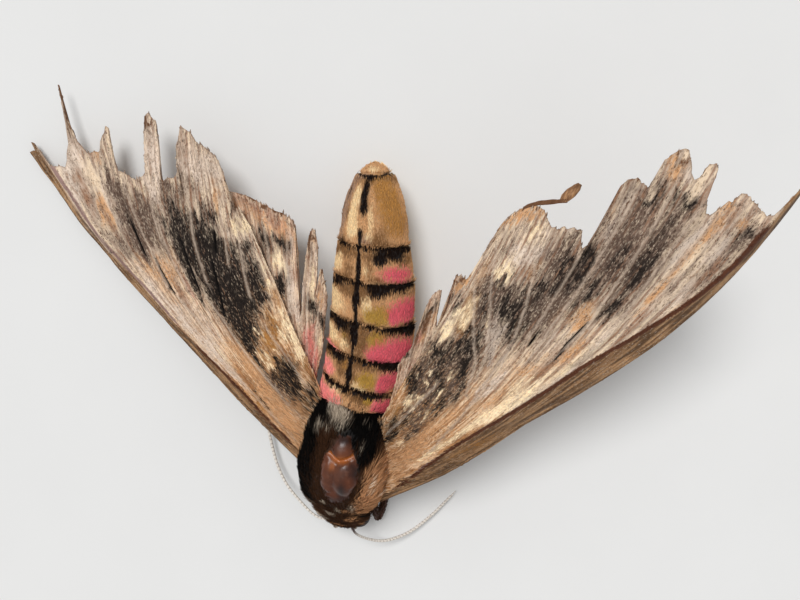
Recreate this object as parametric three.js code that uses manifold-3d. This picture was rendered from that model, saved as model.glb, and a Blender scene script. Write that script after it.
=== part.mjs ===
// A privet hawk moth at life size, standing on the floor with worn, torn wings: millimetres, +Z up.
// Its head points toward -Y and its tail toward +Y; its own left side is toward +X.
// The body leans to its own right, so the right wings droop to the floor and the left wings are raised.

import * as THREE from 'three';
import { mergeVertices } from 'three/addons/utils/BufferGeometryUtils.js';
import Module from 'manifold-3d';

const wasm = await Module();
wasm.setup();

// ---- Driving dimensions, millimetres and degrees ----
const GAP = 0.3;                 // room left between neighbouring pieces
const BODY_LEAN = 20;            // how far the back leans to the moth's right
const FOREWING_LENGTH = 54.5;    // shoulder to wing tip, before the tips were torn
const WING_THICKNESS = 0.55;
const EYE_RADIUS = 1.5;
const EYE_OUT = 1.75;            // an eye's place in the face's cross section
const EYE_DOWN = 0.75;
const ANTENNA_RADIUS = 0.32;
const SOLE_LIFT = 0.28;          // height of a tarsus centre line over the floor

// Cross sections of the body from head to tail: centre x, y, z, half width, half height, and
// how many degrees the section turns clockwise, seen from above.
const HEAD_SECTIONS = [
  [-2.6, -17.3, 5.1, 1.1, 1.0, 4],
  [-2.6, -16.8, 5.3, 2.2, 1.9, 4],
  [-2.6, -15.9, 5.7, 3.0, 2.5, 5],
  [-2.6, -14.9, 6.1, 3.4, 3.0, 6],
  [-2.55, -13.95, 6.5, 3.5, 3.2, 6],
];
const THORAX_SECTIONS = [
  [-2.55, -13.6, 6.6, 3.9, 3.6, 6],
  [-2.5, -12.7, 6.9, 4.7, 4.5, 6],
  [-2.35, -11.2, 7.2, 5.3, 5.2, 7],
  [-2.1, -8.8, 7.5, 5.6, 5.7, 8],
  [-1.7, -5.8, 7.5, 5.5, 5.6, 9],
  [-1.3, -3.2, 7.3, 5.1, 5.1, 11],
  [-0.9, -1.3, 7.1, 4.5, 4.6, 13],
];
const ABDOMEN_SECTIONS = [
  [-0.75, -1.0, 7.0, 4.3, 4.4, 14],
  [-0.1, 1.4, 6.9, 4.75, 4.7, 15],
  [0.6, 4.8, 6.6, 4.9, 4.8, 13],
  [1.1, 8.6, 6.3, 4.95, 4.85, 11],
  [1.25, 13.2, 6.0, 4.75, 4.65, 8],
  [1.25, 17.2, 5.6, 4.15, 4.05, 5],
  [1.35, 20.0, 5.2, 3.85, 3.8, 4],
  [1.4, 22.3, 4.9, 3.35, 3.3, 3],
  [1.45, 24.6, 4.6, 2.45, 2.4, 2],
  [1.4, 25.6, 4.45, 1.45, 1.45, 1],
  [1.4, 26.2, 4.35, 0.75, 0.75, 0],
];
const RING_JOINTS = [-1.0, 1.4, 4.8, 8.6, 13.2, 17.1, 24.9, 26.2];   // y of the abdomen's joints

// A wing lies in its own flat frame: `along` runs from the shoulder down the leading edge and
// `across` from there toward the trailing edge. Its rays run from the root line to the margin as
// the veins do. u is 0 on the leading edge and 1 on the trailing one; t is 0 at the root, 1 at the margin.
const RIGHT_FOREWING = {
  shoulder: new THREE.Vector3(-7.0, -9.0, 7.5),
  along: new THREE.Vector3(-0.643, 0.754, -0.134),
  across: new THREE.Vector3(0.723, 0.655, 0.218),
  tip: [FOREWING_LENGTH, 0.4], crown: [45.3, 16.8], corner: [31, 16.5],
  rootFront: [0, 0], rootBack: [6.3, 8.2],
  pull: [-2.9, -5.7], bow: [3, -3.2],
  edge: [[0, 0], [0.3, 0.34], [0.5, 0.8], [0.7, 1.1], [0.9, 0.5], [1, 0.3]],
  camber: 0.6, foldDrop: 0.35, droop: 0.3, drop: 0, fan: 0.27,
  strip: [[0, 0.11], [0.15, 0.125], [0.25, 0.11], [0.4, 0.065], [0.55, 0.045], [0.6, 0.035], [1, 0.033]],
  // how far the membrane still reaches along its fibres: [fibre, t] pairs around the torn margin
  reach: [
    [0, 0.885], [0.022, 0.885], [0.026, 0.905], [0.034, 0.9], [0.038, 0.84], [0.057, 0.835], [0.071, 0.87],
    [0.081, 0.9], [0.083, 1.02], [0.09, 1.02], [0.092, 0.9], [0.1, 0.873], [0.137, 0.885], [0.17, 0.935],
    [0.188, 0.932], [0.192, 0.865], [0.198, 0.83], [0.28, 0.815], [0.338, 0.84], [0.345, 0.95], [0.355, 0.99],
    [0.37, 1], [0.41, 0.985], [0.418, 0.85], [0.47, 0.84], [0.52, 0.86], [0.53, 0.95], [0.556, 1.02],
    [0.67, 1.005], [0.74, 1.02], [0.8, 1.03], [0.85, 1.01], [0.875, 0.95], [0.887, 0.82], [0.91, 0.8],
    [0.95, 0.815], [1, 0.85],
  ],
};
const LEFT_FOREWING = {
  shoulder: new THREE.Vector3(3.0, -12.0, 11.5),
  along: new THREE.Vector3(0.665, 0.684, 0.3),
  across: new THREE.Vector3(-0.688, 0.717, -0.11),
  tip: [FOREWING_LENGTH, -0.7], crown: [46, 16.6], corner: [32.5, 15.1],
  rootFront: [0, 0], rootBack: [5.0, 7.6],
  pull: [-2.9, -5.2], bow: [8, -7.6],
  edge: [[0, 0], [0.1, 0], [0.28, -0.8], [0.42, -0.4], [0.6, 0], [1, 0]],
  camber: 0.8, foldDrop: 1.3, droop: 2.2, drop: 0, fan: 0,
  strip: [[0, 0.1], [0.09, 0.2], [0.2, 0.245], [0.35, 0.2], [0.5, 0.145], [0.65, 0.065], [1, 0.02]],
  reach: [
    [0, 1.02], [0.014, 0.97], [0.028, 0.925], [0.055, 0.928], [0.1, 0.957], [0.124, 0.953], [0.142, 0.935],
    [0.163, 0.898], [0.178, 0.9], [0.195, 0.93], [0.212, 0.99], [0.238, 1], [0.255, 0.968], [0.292, 1],
    [0.335, 1.018], [0.365, 1], [0.37, 0.945], [0.4, 0.953], [0.45, 0.955], [0.462, 0.945], [0.466, 0.82],
    [0.48, 0.813], [0.525, 0.855], [0.615, 0.86], [0.65, 0.87], [0.73, 0.925], [0.8, 0.955], [0.85, 0.963],
    [0.95, 0.988], [1, 0.975],
  ],
};
const RIGHT_HINDWING = {
  ...RIGHT_FOREWING,
  tip: [36, 9], crown: [27, 21], corner: [14, 17.5],
  rootFront: [3, 1], rootBack: [5.7, 6.0],
  pull: [-1, -1.5], bow: [0, 0], edge: [[0, 0], [1, 0]],
  camber: 0.3, foldDrop: 0.2, droop: 0, drop: 1.35, fan: 0, strip: [[0, 0.03], [1, 0.03]],
  reach: [
    [0, 0.97], [0.31, 0.985], [0.415, 0.99], [0.62, 1.005], [0.67, 1.02], [0.695, 1.0],
    [0.705, 0.62], [0.72, 0.56], [0.738, 0.6], [0.755, 0.75], [0.77, 0.9], [0.795, 1.06], [0.82, 1.09],
    [0.845, 1.04], [0.853, 0.8], [0.862, 0.72], [0.88, 0.93], [0.895, 0.95], [0.955, 0.85],
    [0.975, 0.66], [1, 0.5],
  ],
};
const LEFT_HINDWING = {
  ...LEFT_FOREWING,
  tip: [34, 6], crown: [30, 15.5], corner: [15, 13],
  rootFront: [3, 0.5], rootBack: [4.6, 6.6],
  pull: [-1, -1.5], bow: [0, 0], edge: [[0, 0], [1, 0]],
  camber: 0.3, foldDrop: 0.2, droop: 0.6, drop: 3, strip: [[0, 0.03], [1, 0.03]],
  reach: [
    [0, 0.8], [0.12, 0.86], [0.2, 0.78], [0.33, 0.84], [0.4, 0.72], [0.52, 0.84], [0.6, 0.97],
    [0.66, 1.02], [0.71, 1.06], [0.73, 0.8], [0.76, 0.86], [0.79, 1.05], [0.86, 1.09],
    [0.885, 1.02], [0.9, 0.78], [1, 0.7],
  ],
};

// A sliver of the left forewing's margin that still hangs on past the torn edge: [u, t] along it.
const MARGIN_SLIVER = [[0.83, 0.945], [0.76, 0.943], [0.69, 0.934], [0.66, 0.936], [0.642, 0.962]];
const SLIVER_HALF_WIDTHS = [0.5, 0.4, 0.36, 0.6, 0.85];

// Legs by side and pair: hip, knee, ankle and tip of the foot.
const LEGS = {
  foreleg_right: [[-4.6, -11.6, 3.2], [-5.2, -15.3, 1.9], [-7.0, -12.4, 0.8], [-5.8, -6.4, 0]],
  midleg_right: [[-5.0, -8.6, 3.6], [-7.8, -6.9, 3.2], [-10.2, -4.2, 0.8], [-14.6, 1.8, 0]],
  hindleg_right: [[-3.9, -4.4, 3.6], [-7.4, -0.6, 3.8], [-9.3, 5.4, 0.8], [-11.6, 13.2, 0]],
  foreleg_left: [[-0.6, -11.6, 3.0], [1.5, -17.9, 2.2], [3.0, -13.8, 0.8], [6.4, -9.8, 0]],
  midleg_left: [[0.9, -8.2, 3.6], [5.8, -8.6, 4.4], [10.2, -6.6, 0.8], [17.6, -3.6, 0]],
  hindleg_left: [[0.9, -4.2, 3.6], [6.2, -0.4, 4.2], [9.8, 5.2, 0.8], [13.4, 12.0, 0]],
};

const ANTENNAE = {
  antenna_right: [[-3.4, -15.9, 7.0], [-5.9, -16.0, 5.6], [-8.3, -14.7, 3.5], [-9.9, -13.2, 2.2],
    [-11.0, -11.0, 1.6], [-11.7, -8.3, 1.3], [-12.2, -5.0, 1.3], [-12.0, -2.0, 1.4], [-11.3, -0.4, 1.5]],
  antenna_left: [[-1.7, -16.0, 6.9], [-1.2, -18.2, 5.6], [0.5, -20.1, 3.4], [2.6, -20.8, 2.2],
    [5.4, -20.1, 1.3], [8.1, -18.1, 0.9], [10.0, -16.1, 0.9], [10.8, -15.2, 0.95], [11.2, -14.7, 1.0]],
};

// ---- Colours of the pieces ----
const paint = (color, roughness) => new THREE.MeshStandardMaterial({ color, roughness, metalness: 0 });
const FINISH = {
  fur: paint(0x2a211c, 0.9),
  brownFur: paint(0x6b4d33, 0.9),
  ring: paint(0xb98a5c, 0.85),
  foreWing: paint(0x8d745c, 0.85),
  hindWing: paint(0xc98f86, 0.85),
  eye: paint(0x1d1713, 0.15),
  leg: paint(0x4b2b20, 0.6),
  antenna: paint(0xcfc4b4, 0.7),
};

// ---- Closed skins ----

// Turns a list of corners and triangles into a solid with its faces outward.
function solidFrom(corners, triangles) {
  const position = new Float32Array(corners.flatMap((corner) => corner.toArray()));
  let volume = 0;
  for (const [a, b, c] of triangles)
    volume += corners[a].dot(new THREE.Vector3().crossVectors(corners[b], corners[c]));
  const order = volume < 0 ? triangles.map(([a, b, c]) => [a, c, b]) : triangles;
  const geometry = new THREE.BufferGeometry();
  geometry.setAttribute('position', new THREE.BufferAttribute(position, 3));
  geometry.setIndex(order.flat());
  return solidOf(geometry);
}

function solidOf(geometry) {
  const bare = geometry.clone();
  bare.deleteAttribute('normal');
  bare.deleteAttribute('uv');
  const merged = mergeVertices(bare, 1e-5);
  return new wasm.Manifold(new wasm.Mesh({
    numProp: 3,
    vertProperties: new Float32Array(merged.attributes.position.array),
    triVerts: new Uint32Array(merged.index.array),
  }));
}

function geometryOf(solid) {
  const mesh = solid.getMesh();
  const geometry = new THREE.BufferGeometry();
  geometry.setAttribute('position', new THREE.BufferAttribute(mesh.vertProperties, 3));
  geometry.setIndex(Array.from(mesh.triVerts));
  geometry.computeVertexNormals();
  return geometry;
}

// A skin through a row of rings, closed by a flat fan at each end.
// A ring is { centre, right, up, halfWidth, halfHeight }.
function loft(rings, sides) {
  const corners = [];
  const triangles = [];
  for (const ring of rings) {
    for (let side = 0; side < sides; side += 1) {
      const angle = (2 * Math.PI * side) / sides;
      corners.push(ring.centre.clone()
        .addScaledVector(ring.right, ring.halfWidth * Math.cos(angle))
        .addScaledVector(ring.up, ring.halfHeight * Math.sin(angle)));
    }
  }
  for (let row = 0; row + 1 < rings.length; row += 1) {
    for (let side = 0; side < sides; side += 1) {
      const next = (side + 1) % sides;
      const here = row * sides;
      const there = here + sides;
      triangles.push([here + side, here + next, there + next], [here + side, there + next, there + side]);
    }
  }
  const last = (rings.length - 1) * sides;
  const first = corners.push(rings[0].centre.clone()) - 1;
  const end = corners.push(rings[rings.length - 1].centre.clone()) - 1;
  for (let side = 0; side < sides; side += 1) {
    const next = (side + 1) % sides;
    triangles.push([first, next, side], [end, last + side, last + next]);
  }
  return solidFrom(corners, triangles);
}

// ---- The body ----

const UPRIGHT = new THREE.Vector3(0, 0, 1);
const lean = THREE.MathUtils.degToRad(BODY_LEAN);
const LEANING_SIDE = new THREE.Vector3(Math.cos(lean), 0, Math.sin(lean));   // toward the moth's left side
const LEANING_BACK = new THREE.Vector3(-Math.sin(lean), 0, Math.cos(lean));  // toward the moth's back

// The section of the body at a place between two listed ones.
function sectionAt(sections, y) {
  let row = 0;
  while (row + 2 < sections.length && sections[row + 1][1] < y) row += 1;
  const before = sections[Math.max(row - 1, 0)];
  const after = sections[Math.min(row + 2, sections.length - 1)];
  const [start, stop] = [sections[row], sections[row + 1]];
  const f = (y - start[1]) / (stop[1] - start[1]);
  const blend = start.map((value, k) => {
    const slopeIn = (stop[k] - before[k]) / 2;
    const slopeOut = (after[k] - value) / 2;
    const curve = (2 * f ** 3 - 3 * f ** 2 + 1) * value + (f ** 3 - 2 * f ** 2 + f) * slopeIn
      + (3 * f ** 2 - 2 * f ** 3) * stop[k] + (f ** 3 - f ** 2) * slopeOut;
    return k === 1 ? y : curve;
  });
  const turn = -THREE.MathUtils.degToRad(blend[5]);
  return {
    centre: new THREE.Vector3(...blend.slice(0, 3)),
    right: LEANING_SIDE.clone().applyAxisAngle(UPRIGHT, turn),
    up: LEANING_BACK.clone().applyAxisAngle(UPRIGHT, turn),
    halfWidth: blend[3], halfHeight: blend[4],
  };
}

// The body between two places, every section swollen by `grow` and scaled by its own factor.
function bodyLength(sections, places, factors = [], grow = 0, sides = 20) {
  return loft(places.map((y, row) => {
    const section = sectionAt(sections, y);
    const factor = factors[row] ?? 1;
    return {
      ...section,
      halfWidth: section.halfWidth * factor + grow,
      halfHeight: section.halfHeight * factor + grow,
    };
  }), sides);
}

const placesOf = (sections) => sections.map((section) => section[1]);

function headSolid(grow = 0) {
  const places = placesOf(HEAD_SECTIONS);
  places[0] -= grow;
  return bodyLength(HEAD_SECTIONS, places, [], grow);
}

function thoraxSolid(grow = 0) {
  const places = placesOf(THORAX_SECTIONS);
  places[0] -= grow;
  places[places.length - 1] += grow;
  return bodyLength(THORAX_SECTIONS, places, [], grow, 24);
}

// One ring of the abdomen, a little narrower at its joints than between them.
function ringSolid(number) {
  const isTail = number === RING_JOINTS.length - 1;
  const start = RING_JOINTS[number - 1] + GAP / 2;
  const stop = RING_JOINTS[number] - (isTail ? 0 : GAP / 2);
  const stations = isTail ? [0, 0.12, 0.35, 0.6, 0.82, 0.94, 1] : [0, 0.14, 0.5, 0.86, 1];
  const factors = isTail ? [0.95, 1, 1, 1, 1, 1, 1] : [0.95, 1.01, 1.02, 1, 0.94];
  const places = stations.map((f) => THREE.MathUtils.lerp(start, stop, f));
  return bodyLength(ABDOMEN_SECTIONS, places, factors, 0, 18);
}

// The whole abdomen swollen by `grow`, to cut room for it out of its neighbours.
function abdomenRoom(grow) {
  return bodyLength(ABDOMEN_SECTIONS, placesOf(ABDOMEN_SECTIONS).slice(0, 9), [], grow + 0.1, 20);
}

const FACE = sectionAt(HEAD_SECTIONS, -15.6);

function ball(centre, radius, around = 12, along = 9) {
  const geometry = new THREE.SphereGeometry(radius, around, along);
  geometry.translate(centre.x, centre.y, centre.z);
  return solidOf(geometry);
}

const eyeCentre = (side) => FACE.centre.clone()
  .addScaledVector(FACE.right, EYE_OUT * side)
  .addScaledVector(FACE.up, -EYE_DOWN);

// A rod along a smooth curve, its radius given by a function of the place from 0 to 1.
// Nothing of it goes below the floor, so a foot gets its flat sole.
function limb(points, radiusAt, steps, sides) {
  const curve = new THREE.CatmullRomCurve3(points, false, 'centripetal');
  const frames = curve.computeFrenetFrames(steps, false);
  const rings = [];
  for (let step = 0; step <= steps; step += 1) {
    const radius = radiusAt(step / steps);
    rings.push({
      centre: curve.getPointAt(step / steps),
      right: frames.normals[step], up: frames.binormals[step],
      halfWidth: radius, halfHeight: radius,
    });
  }
  return loft(rings, sides);
}

// Flattens whatever lies below the floor onto it.
function standOnFloor(solid) {
  return solid.warp((corner) => {
    corner[2] = Math.max(corner[2], 0);
  });
}

const vector = (values) => new THREE.Vector3(...values);

// The two feelers of the mouth, curving up in front of the face.
function palpSolid(side) {
  const at = (x, y, z) => new THREE.Vector3(FACE.centre.x + x * side, y, z + 0.3 * side);
  const points = [at(1.25, -15.3, 2.4), at(1.3, -16.9, 2.5), at(1.2, -17.8, 3.4), at(1.05, -18.0, 4.5)];
  return limb(points, (f) => 0.72 * Math.sin(Math.PI * Math.min(0.12 + 0.82 * f, 0.93)) ** 0.5, 7, 9);
}

// The tongue, coiled between the palps.
function proboscisSolid() {
  const points = [];
  const turns = 1.6;
  const steps = 24;
  for (let step = 0; step <= steps; step += 1) {
    const angle = (2 * Math.PI * turns * step) / steps + 2.2;
    const radius = 1.25 - (0.6 * step) / steps;
    const [y, z] = [-16.9 + radius * Math.cos(angle), 2.2 + radius * Math.sin(angle)];
    points.push(new THREE.Vector3(FACE.centre.x, y, z));
  }
  return limb(points, () => 0.18, steps, 6);
}

// The flap over a wing's shoulder, lying along the thorax.
function tegulaSolid(side) {
  const rings = [];
  const steps = 8;
  for (let step = 0; step <= steps; step += 1) {
    const f = step / steps;
    const y = THREE.MathUtils.lerp(-12.9, -5.4, f);
    const body = sectionAt(THORAX_SECTIONS, y);
    const rise = THREE.MathUtils.degToRad(THREE.MathUtils.lerp(40, 28, f));
    const sideways = body.right.clone().multiplyScalar(side);
    const out = sideways.clone().multiplyScalar(Math.cos(rise)).addScaledVector(body.up, Math.sin(rise));
    const round = sideways.clone().multiplyScalar(-Math.sin(rise)).addScaledVector(body.up, Math.cos(rise));
    const swell = Math.sin(Math.PI * (0.06 + 0.88 * f)) ** 0.6;
    rings.push({
      centre: body.centre.clone().addScaledVector(out, (body.halfWidth + body.halfHeight) / 2 + 0.05),
      right: round, up: out, halfWidth: 1.75 * swell, halfHeight: 0.95 * swell,
    });
  }
  return loft(rings, 12);
}

// ---- Wings ----

// The value at x of a table of [x, value] rows.
function tableAt(table, x) {
  const row = Math.max(1, table.findIndex(([place]) => place >= x));
  const [[x0, y0], [x1, y1]] = [table[row - 1], table[row]];
  return THREE.MathUtils.lerp(y0, y1, THREE.MathUtils.clamp((x - x0) / (x1 - x0), 0, 1));
}

// The u of a fibre at t: the fibres near the leading edge fan out toward the margin.
function fanned(wing, fibre, t) {
  const lean = wing.fan * (t - 0.6 + Math.sqrt((t - 0.6) ** 2 + 0.01));
  return fibre + lean * THREE.MathUtils.clamp((fibre - 0.035) / 0.085, 0, 1) * (1 - fibre ** 4);
}

// The place of (u, t) in the wing's own flat frame.
function rayPoint(wing, u, t) {
  const mix = (from, to, f) => [0, 1].map((k) => from[k] + (to[k] - from[k]) * f);
  const root = mix(wing.rootFront, wing.rootBack, u);
  const margin = [0, 1].map((k) => wing.tip[k] * (1 - u) ** 2 + 2 * wing.crown[k] * u * (1 - u)
    + wing.corner[k] * u ** 2);
  const middle = [0, 1].map((k) => (root[k] + margin[k]) / 2 + wing.pull[k] * Math.sin(Math.PI * u)
    + wing.bow[k] * (1 - u) ** 3);
  const edge = tableAt(wing.edge, t) * THREE.MathUtils.clamp(1 - u / 0.15, 0, 1);
  return [0, 1].map((k) => root[k] * (1 - t) ** 2 + 2 * middle[k] * t * (1 - t)
    + margin[k] * t ** 2 - k * edge);
}

// How high the wing's middle surface lies over its flat frame.
function wingHeight(wing, u, t) {
  const arch = wing.camber * 4 * t * (1 - t) * Math.sin(Math.PI * u);
  const fold = wing.foldDrop * Math.max(0, 1 - u / tableAt(wing.strip, t)) * Math.min(1, 3 * Math.max(t, 0));
  return arch - fold - wing.droop * Math.max(0, 1 - Math.max(t, 0)) ** 5 - wing.drop;
}

function wingThickness(wing, u, t) {
  const spar = 0.5 * Math.max(0, 1 - u / 0.05) * (1 - 0.6 * t);
  return WING_THICKNESS + spar + 0.4 * Math.max(0, 1 - Math.max(t, 0)) ** 6;
}

function wingUp(wing) {
  const up = new THREE.Vector3().crossVectors(wing.along, wing.across).normalize();
  return up.z < 0 ? up.negate() : up;
}

// A point of the wing, `lift` half thicknesses above its middle surface.
function wingPoint(wing, u, t, lift = 0) {
  const [x, y] = rayPoint(wing, u, t);
  const height = wingHeight(wing, u, t) + (lift * wingThickness(wing, u, t)) / 2;
  return wing.shoulder.clone()
    .addScaledVector(wing.along, x)
    .addScaledVector(wing.across, y)
    .addScaledVector(wingUp(wing), height);
}

// Every listed ray, with more between those that stand far apart.
function wingRays(wing, widest) {
  const rays = [];
  for (let row = 0; row + 1 < wing.reach.length; row += 1) {
    const [[u0, t0], [u1, t1]] = [wing.reach[row], wing.reach[row + 1]];
    const parts = Math.ceil((u1 - u0) / widest);
    for (let part = 0; part < parts; part += 1) {
      const f = part / parts;
      rays.push([u0 + (u1 - u0) * f, t0 + (t1 - t0) * f]);
    }
  }
  rays.push(wing.reach[wing.reach.length - 1]);
  return rays;
}

const ROOT_INSIDE = -0.05;       // where the rays start, inside the thorax

function wingSolid(wing, widest, steps) {
  const rays = wingRays(wing, widest);
  const corners = [];
  const triangles = [];
  const corner = (ray, step, top) => (ray * (steps + 1) + step) * 2 + top;
  for (const [fibre, reach] of rays) {
    for (let step = 0; step <= steps; step += 1) {
      const t = THREE.MathUtils.lerp(ROOT_INSIDE, reach, step / steps);
      const u = fanned(wing, fibre, t);
      corners.push(wingPoint(wing, u, t, -1), wingPoint(wing, u, t, 1));
    }
  }
  const quad = (a, b, c, d) => triangles.push([a, b, c], [a, c, d]);
  for (let ray = 0; ray + 1 < rays.length; ray += 1) {
    for (let step = 0; step < steps; step += 1) {
      const faces = [0, 1].map((top) => [
        corner(ray, step, top), corner(ray + 1, step, top),
        corner(ray + 1, step + 1, top), corner(ray, step + 1, top),
      ]);
      quad(...faces[1]);
      quad(...faces[0].reverse());
    }
    quad(corner(ray, 0, 1), corner(ray, 0, 0), corner(ray + 1, 0, 0), corner(ray + 1, 0, 1));
    quad(corner(ray, steps, 0), corner(ray, steps, 1), corner(ray + 1, steps, 1), corner(ray + 1, steps, 0));
  }
  const last = rays.length - 1;
  for (let step = 0; step < steps; step += 1) {
    quad(corner(0, step, 0), corner(0, step, 1), corner(0, step + 1, 1), corner(0, step + 1, 0));
    quad(corner(last, step, 1), corner(last, step, 0), corner(last, step + 1, 0), corner(last, step + 1, 1));
  }
  return solidFrom(corners, triangles);
}

// The loose sliver of margin, a flat strip in the wing's surface.
function sliverSolid(wing) {
  const up = wingUp(wing);
  const centres = MARGIN_SLIVER.map(([u, t]) => wingPoint(wing, u, t));
  const rings = centres.map((centre, row) => {
    const ahead = centres[Math.min(row + 1, centres.length - 1)].clone().sub(centres[Math.max(row - 1, 0)]);
    const side = new THREE.Vector3().crossVectors(ahead, up).normalize();
    return { centre, right: side, up, halfWidth: SLIVER_HALF_WIDTHS[row], halfHeight: WING_THICKNESS / 2 };
  });
  return loft(rings, 8);
}

// ---- Legs ----

// A limb's radius along it: thick in the middle, with rounded ends.
const spindle = (thin, thick, grow) => (f) => {
  const rounding = Math.min(1, 0.5 + 5 * Math.min(f, 1 - f));
  return (thin + (thick - thin) * Math.sin(Math.PI * f)) * rounding + grow;
};

// The three pieces of a leg, each as a function of how much it is swollen.
function legShapes([hip, knee, ankle, toe]) {
  const [hipPoint, kneePoint, anklePoint] = [hip, knee, ankle].map(vector);
  const arch = hipPoint.clone().lerp(kneePoint, 0.5).addScaledVector(UPRIGHT, 0.25);
  const heel = anklePoint.clone().setZ(SOLE_LIFT);
  const sole = vector(toe).setZ(SOLE_LIFT);
  const sideways = new THREE.Vector3().crossVectors(sole.clone().sub(heel), UPRIGHT).normalize();
  const bend = heel.clone().lerp(sole, 0.5).addScaledVector(sideways, 0.25);
  return {
    femur: (grow) => limb([hipPoint, arch, kneePoint], spindle(0.45, 0.8, grow), 5, 7),
    tibia: (grow) => limb([kneePoint, anklePoint], spindle(0.4, 0.6, grow), 4, 7),
    tarsus: (grow) => limb([heel, bend, sole], (f) => 0.43 - 0.1 * f + grow, 6, 8),
  };
}

// ---- The whole moth ----

const pieces = new Map();
const add = (name, solid, finish) => pieces.set(name, { solid, finish });

function addBody() {
  const eyes = { left: eyeCentre(1), right: eyeCentre(-1) };
  let head = headSolid();
  for (const centre of Object.values(eyes)) head = head.subtract(ball(centre, EYE_RADIUS + GAP));
  add('head', head, FINISH.brownFur);
  for (const [side, centre] of Object.entries(eyes))
    add(`eye_${side}`, ball(centre, EYE_RADIUS, 14, 10), FINISH.eye);
  const headRoom = headSolid(GAP);
  const eyeRoom = Object.values(eyes).map((centre) => ball(centre, EYE_RADIUS + GAP));
  const clearOfFace = (solid) =>
    eyeRoom.reduce((rest, room) => rest.subtract(room), solid.subtract(headRoom));
  add('palp_left', clearOfFace(palpSolid(1)), FINISH.brownFur);
  add('palp_right', clearOfFace(palpSolid(-1)), FINISH.brownFur);
  add('proboscis', clearOfFace(proboscisSolid()), FINISH.leg);
  for (const [name, points] of Object.entries(ANTENNAE)) {
    const radiusAt = (f) => ANTENNA_RADIUS * (0.85 + 0.35 * Math.sin(Math.PI * f ** 1.5));
    const solid = limb(points.map(vector), radiusAt, 18, 6);
    add(name, clearOfFace(solid), FINISH.antenna);
  }
  add('thorax', thoraxSolid(), FINISH.fur);
  for (let number = 1; number < RING_JOINTS.length; number += 1)
    add(`abdomen_${number}`, ringSolid(number), FINISH.ring);
}

function addWings() {
  const bodyRoom = thoraxSolid(GAP).add(abdomenRoom(GAP));
  const tegulae = { left: tegulaSolid(1), right: tegulaSolid(-1) };
  const wings = {
    forewing_right: wingSolid(RIGHT_FOREWING, 0.065, 5),
    forewing_left: wingSolid(LEFT_FOREWING, 0.065, 5).add(sliverSolid(LEFT_FOREWING)),
    hindwing_right: wingSolid(RIGHT_HINDWING, 0.08, 3),
    hindwing_left: wingSolid(LEFT_HINDWING, 0.08, 3),
  };
  for (const [name, solid] of Object.entries(wings))
    add(name, solid.subtract(bodyRoom), name.startsWith('fore') ? FINISH.foreWing : FINISH.hindWing);
  for (const side of ['left', 'right']) {
    const shell = tegulae[side].subtract(bodyRoom).subtract(wings[`forewing_${side}`]);
    add(`tegula_${side}`, shell, FINISH.fur);
  }
}

const largest = (solid) => solid.decompose().sort((a, b) => b.volume() - a.volume())[0];

// Each piece of a leg is cut clear of the one above it; the foot stands flat on the floor.
function addLegs() {
  const thoraxRoom = thoraxSolid(GAP);
  for (const [name, joints] of Object.entries(LEGS)) {
    const shapes = legShapes(joints);
    add(`${name}_femur`, shapes.femur(0).subtract(thoraxRoom), FINISH.leg);
    const tibia = shapes.tibia(0).subtract(shapes.femur(GAP)).subtract(thoraxRoom);
    add(`${name}_tibia`, largest(tibia), FINISH.leg);
    add(`${name}_tarsus`, standOnFloor(shapes.tarsus(0).subtract(shapes.tibia(GAP))), FINISH.leg);
  }
}

addBody();
addWings();
addLegs();

const moth = new THREE.Group();
for (const [name, { solid, finish }] of pieces) {
  const mesh = new THREE.Mesh(geometryOf(solid), finish.clone());
  mesh.name = name;
  moth.add(mesh);
}

// The origin is on the floor under the middle of the moth's box.
const box = new THREE.Box3().setFromObject(moth);
const middle = box.getCenter(new THREE.Vector3());
moth.position.set(-middle.x, -middle.y, 0);
moth.updateMatrixWorld(true);

export default moth;
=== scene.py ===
# A privet hawk moth at life size, worn and torn, standing on a pale floor.
# Shapes are worked out in millimetres in the moth's own frame: the origin is on the floor under the
# waist, the head points toward -Y, the moth's left side is toward +X. A mesh is turned to metres, in
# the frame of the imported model, when it is made.
import math
import bpy
import numpy as np
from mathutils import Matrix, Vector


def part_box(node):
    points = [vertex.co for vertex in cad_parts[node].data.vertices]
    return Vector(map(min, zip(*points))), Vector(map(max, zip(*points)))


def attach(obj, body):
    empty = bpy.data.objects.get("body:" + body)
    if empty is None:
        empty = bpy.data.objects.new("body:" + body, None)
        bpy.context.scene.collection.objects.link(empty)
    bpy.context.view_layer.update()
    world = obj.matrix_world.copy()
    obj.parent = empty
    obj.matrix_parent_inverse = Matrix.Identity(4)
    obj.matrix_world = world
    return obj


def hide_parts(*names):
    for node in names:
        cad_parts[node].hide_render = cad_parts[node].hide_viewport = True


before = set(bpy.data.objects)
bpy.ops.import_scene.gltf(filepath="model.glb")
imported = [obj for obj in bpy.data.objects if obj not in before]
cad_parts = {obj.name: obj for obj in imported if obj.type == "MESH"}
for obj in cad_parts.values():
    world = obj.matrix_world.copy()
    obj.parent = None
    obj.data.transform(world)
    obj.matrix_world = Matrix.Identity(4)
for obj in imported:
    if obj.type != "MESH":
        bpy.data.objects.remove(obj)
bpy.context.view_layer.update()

MM = 0.001
BODY_LEAN = math.radians(20)     # how far the back leans to the moth's right
EYE_RADIUS = 1.5
EYE_OUT, EYE_DOWN = 1.75, 0.75     # an eye's place in the face's cross section
FACE_Y = -15.6
SIDES = {"left": 1, "right": -1}


# ---- Numbers ----


def mix(first, second, amount):
    return first + (second - first) * amount


def step(start, stop, x):
    """0 before start and 1 after stop, with a smooth rise between them."""
    f = np.clip((x - start) / (stop - start), 0, 1)
    return f * f * (3 - 2 * f)


def hump(x, middle, width):
    return np.exp(-(((x - middle) / width) ** 2))


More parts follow.
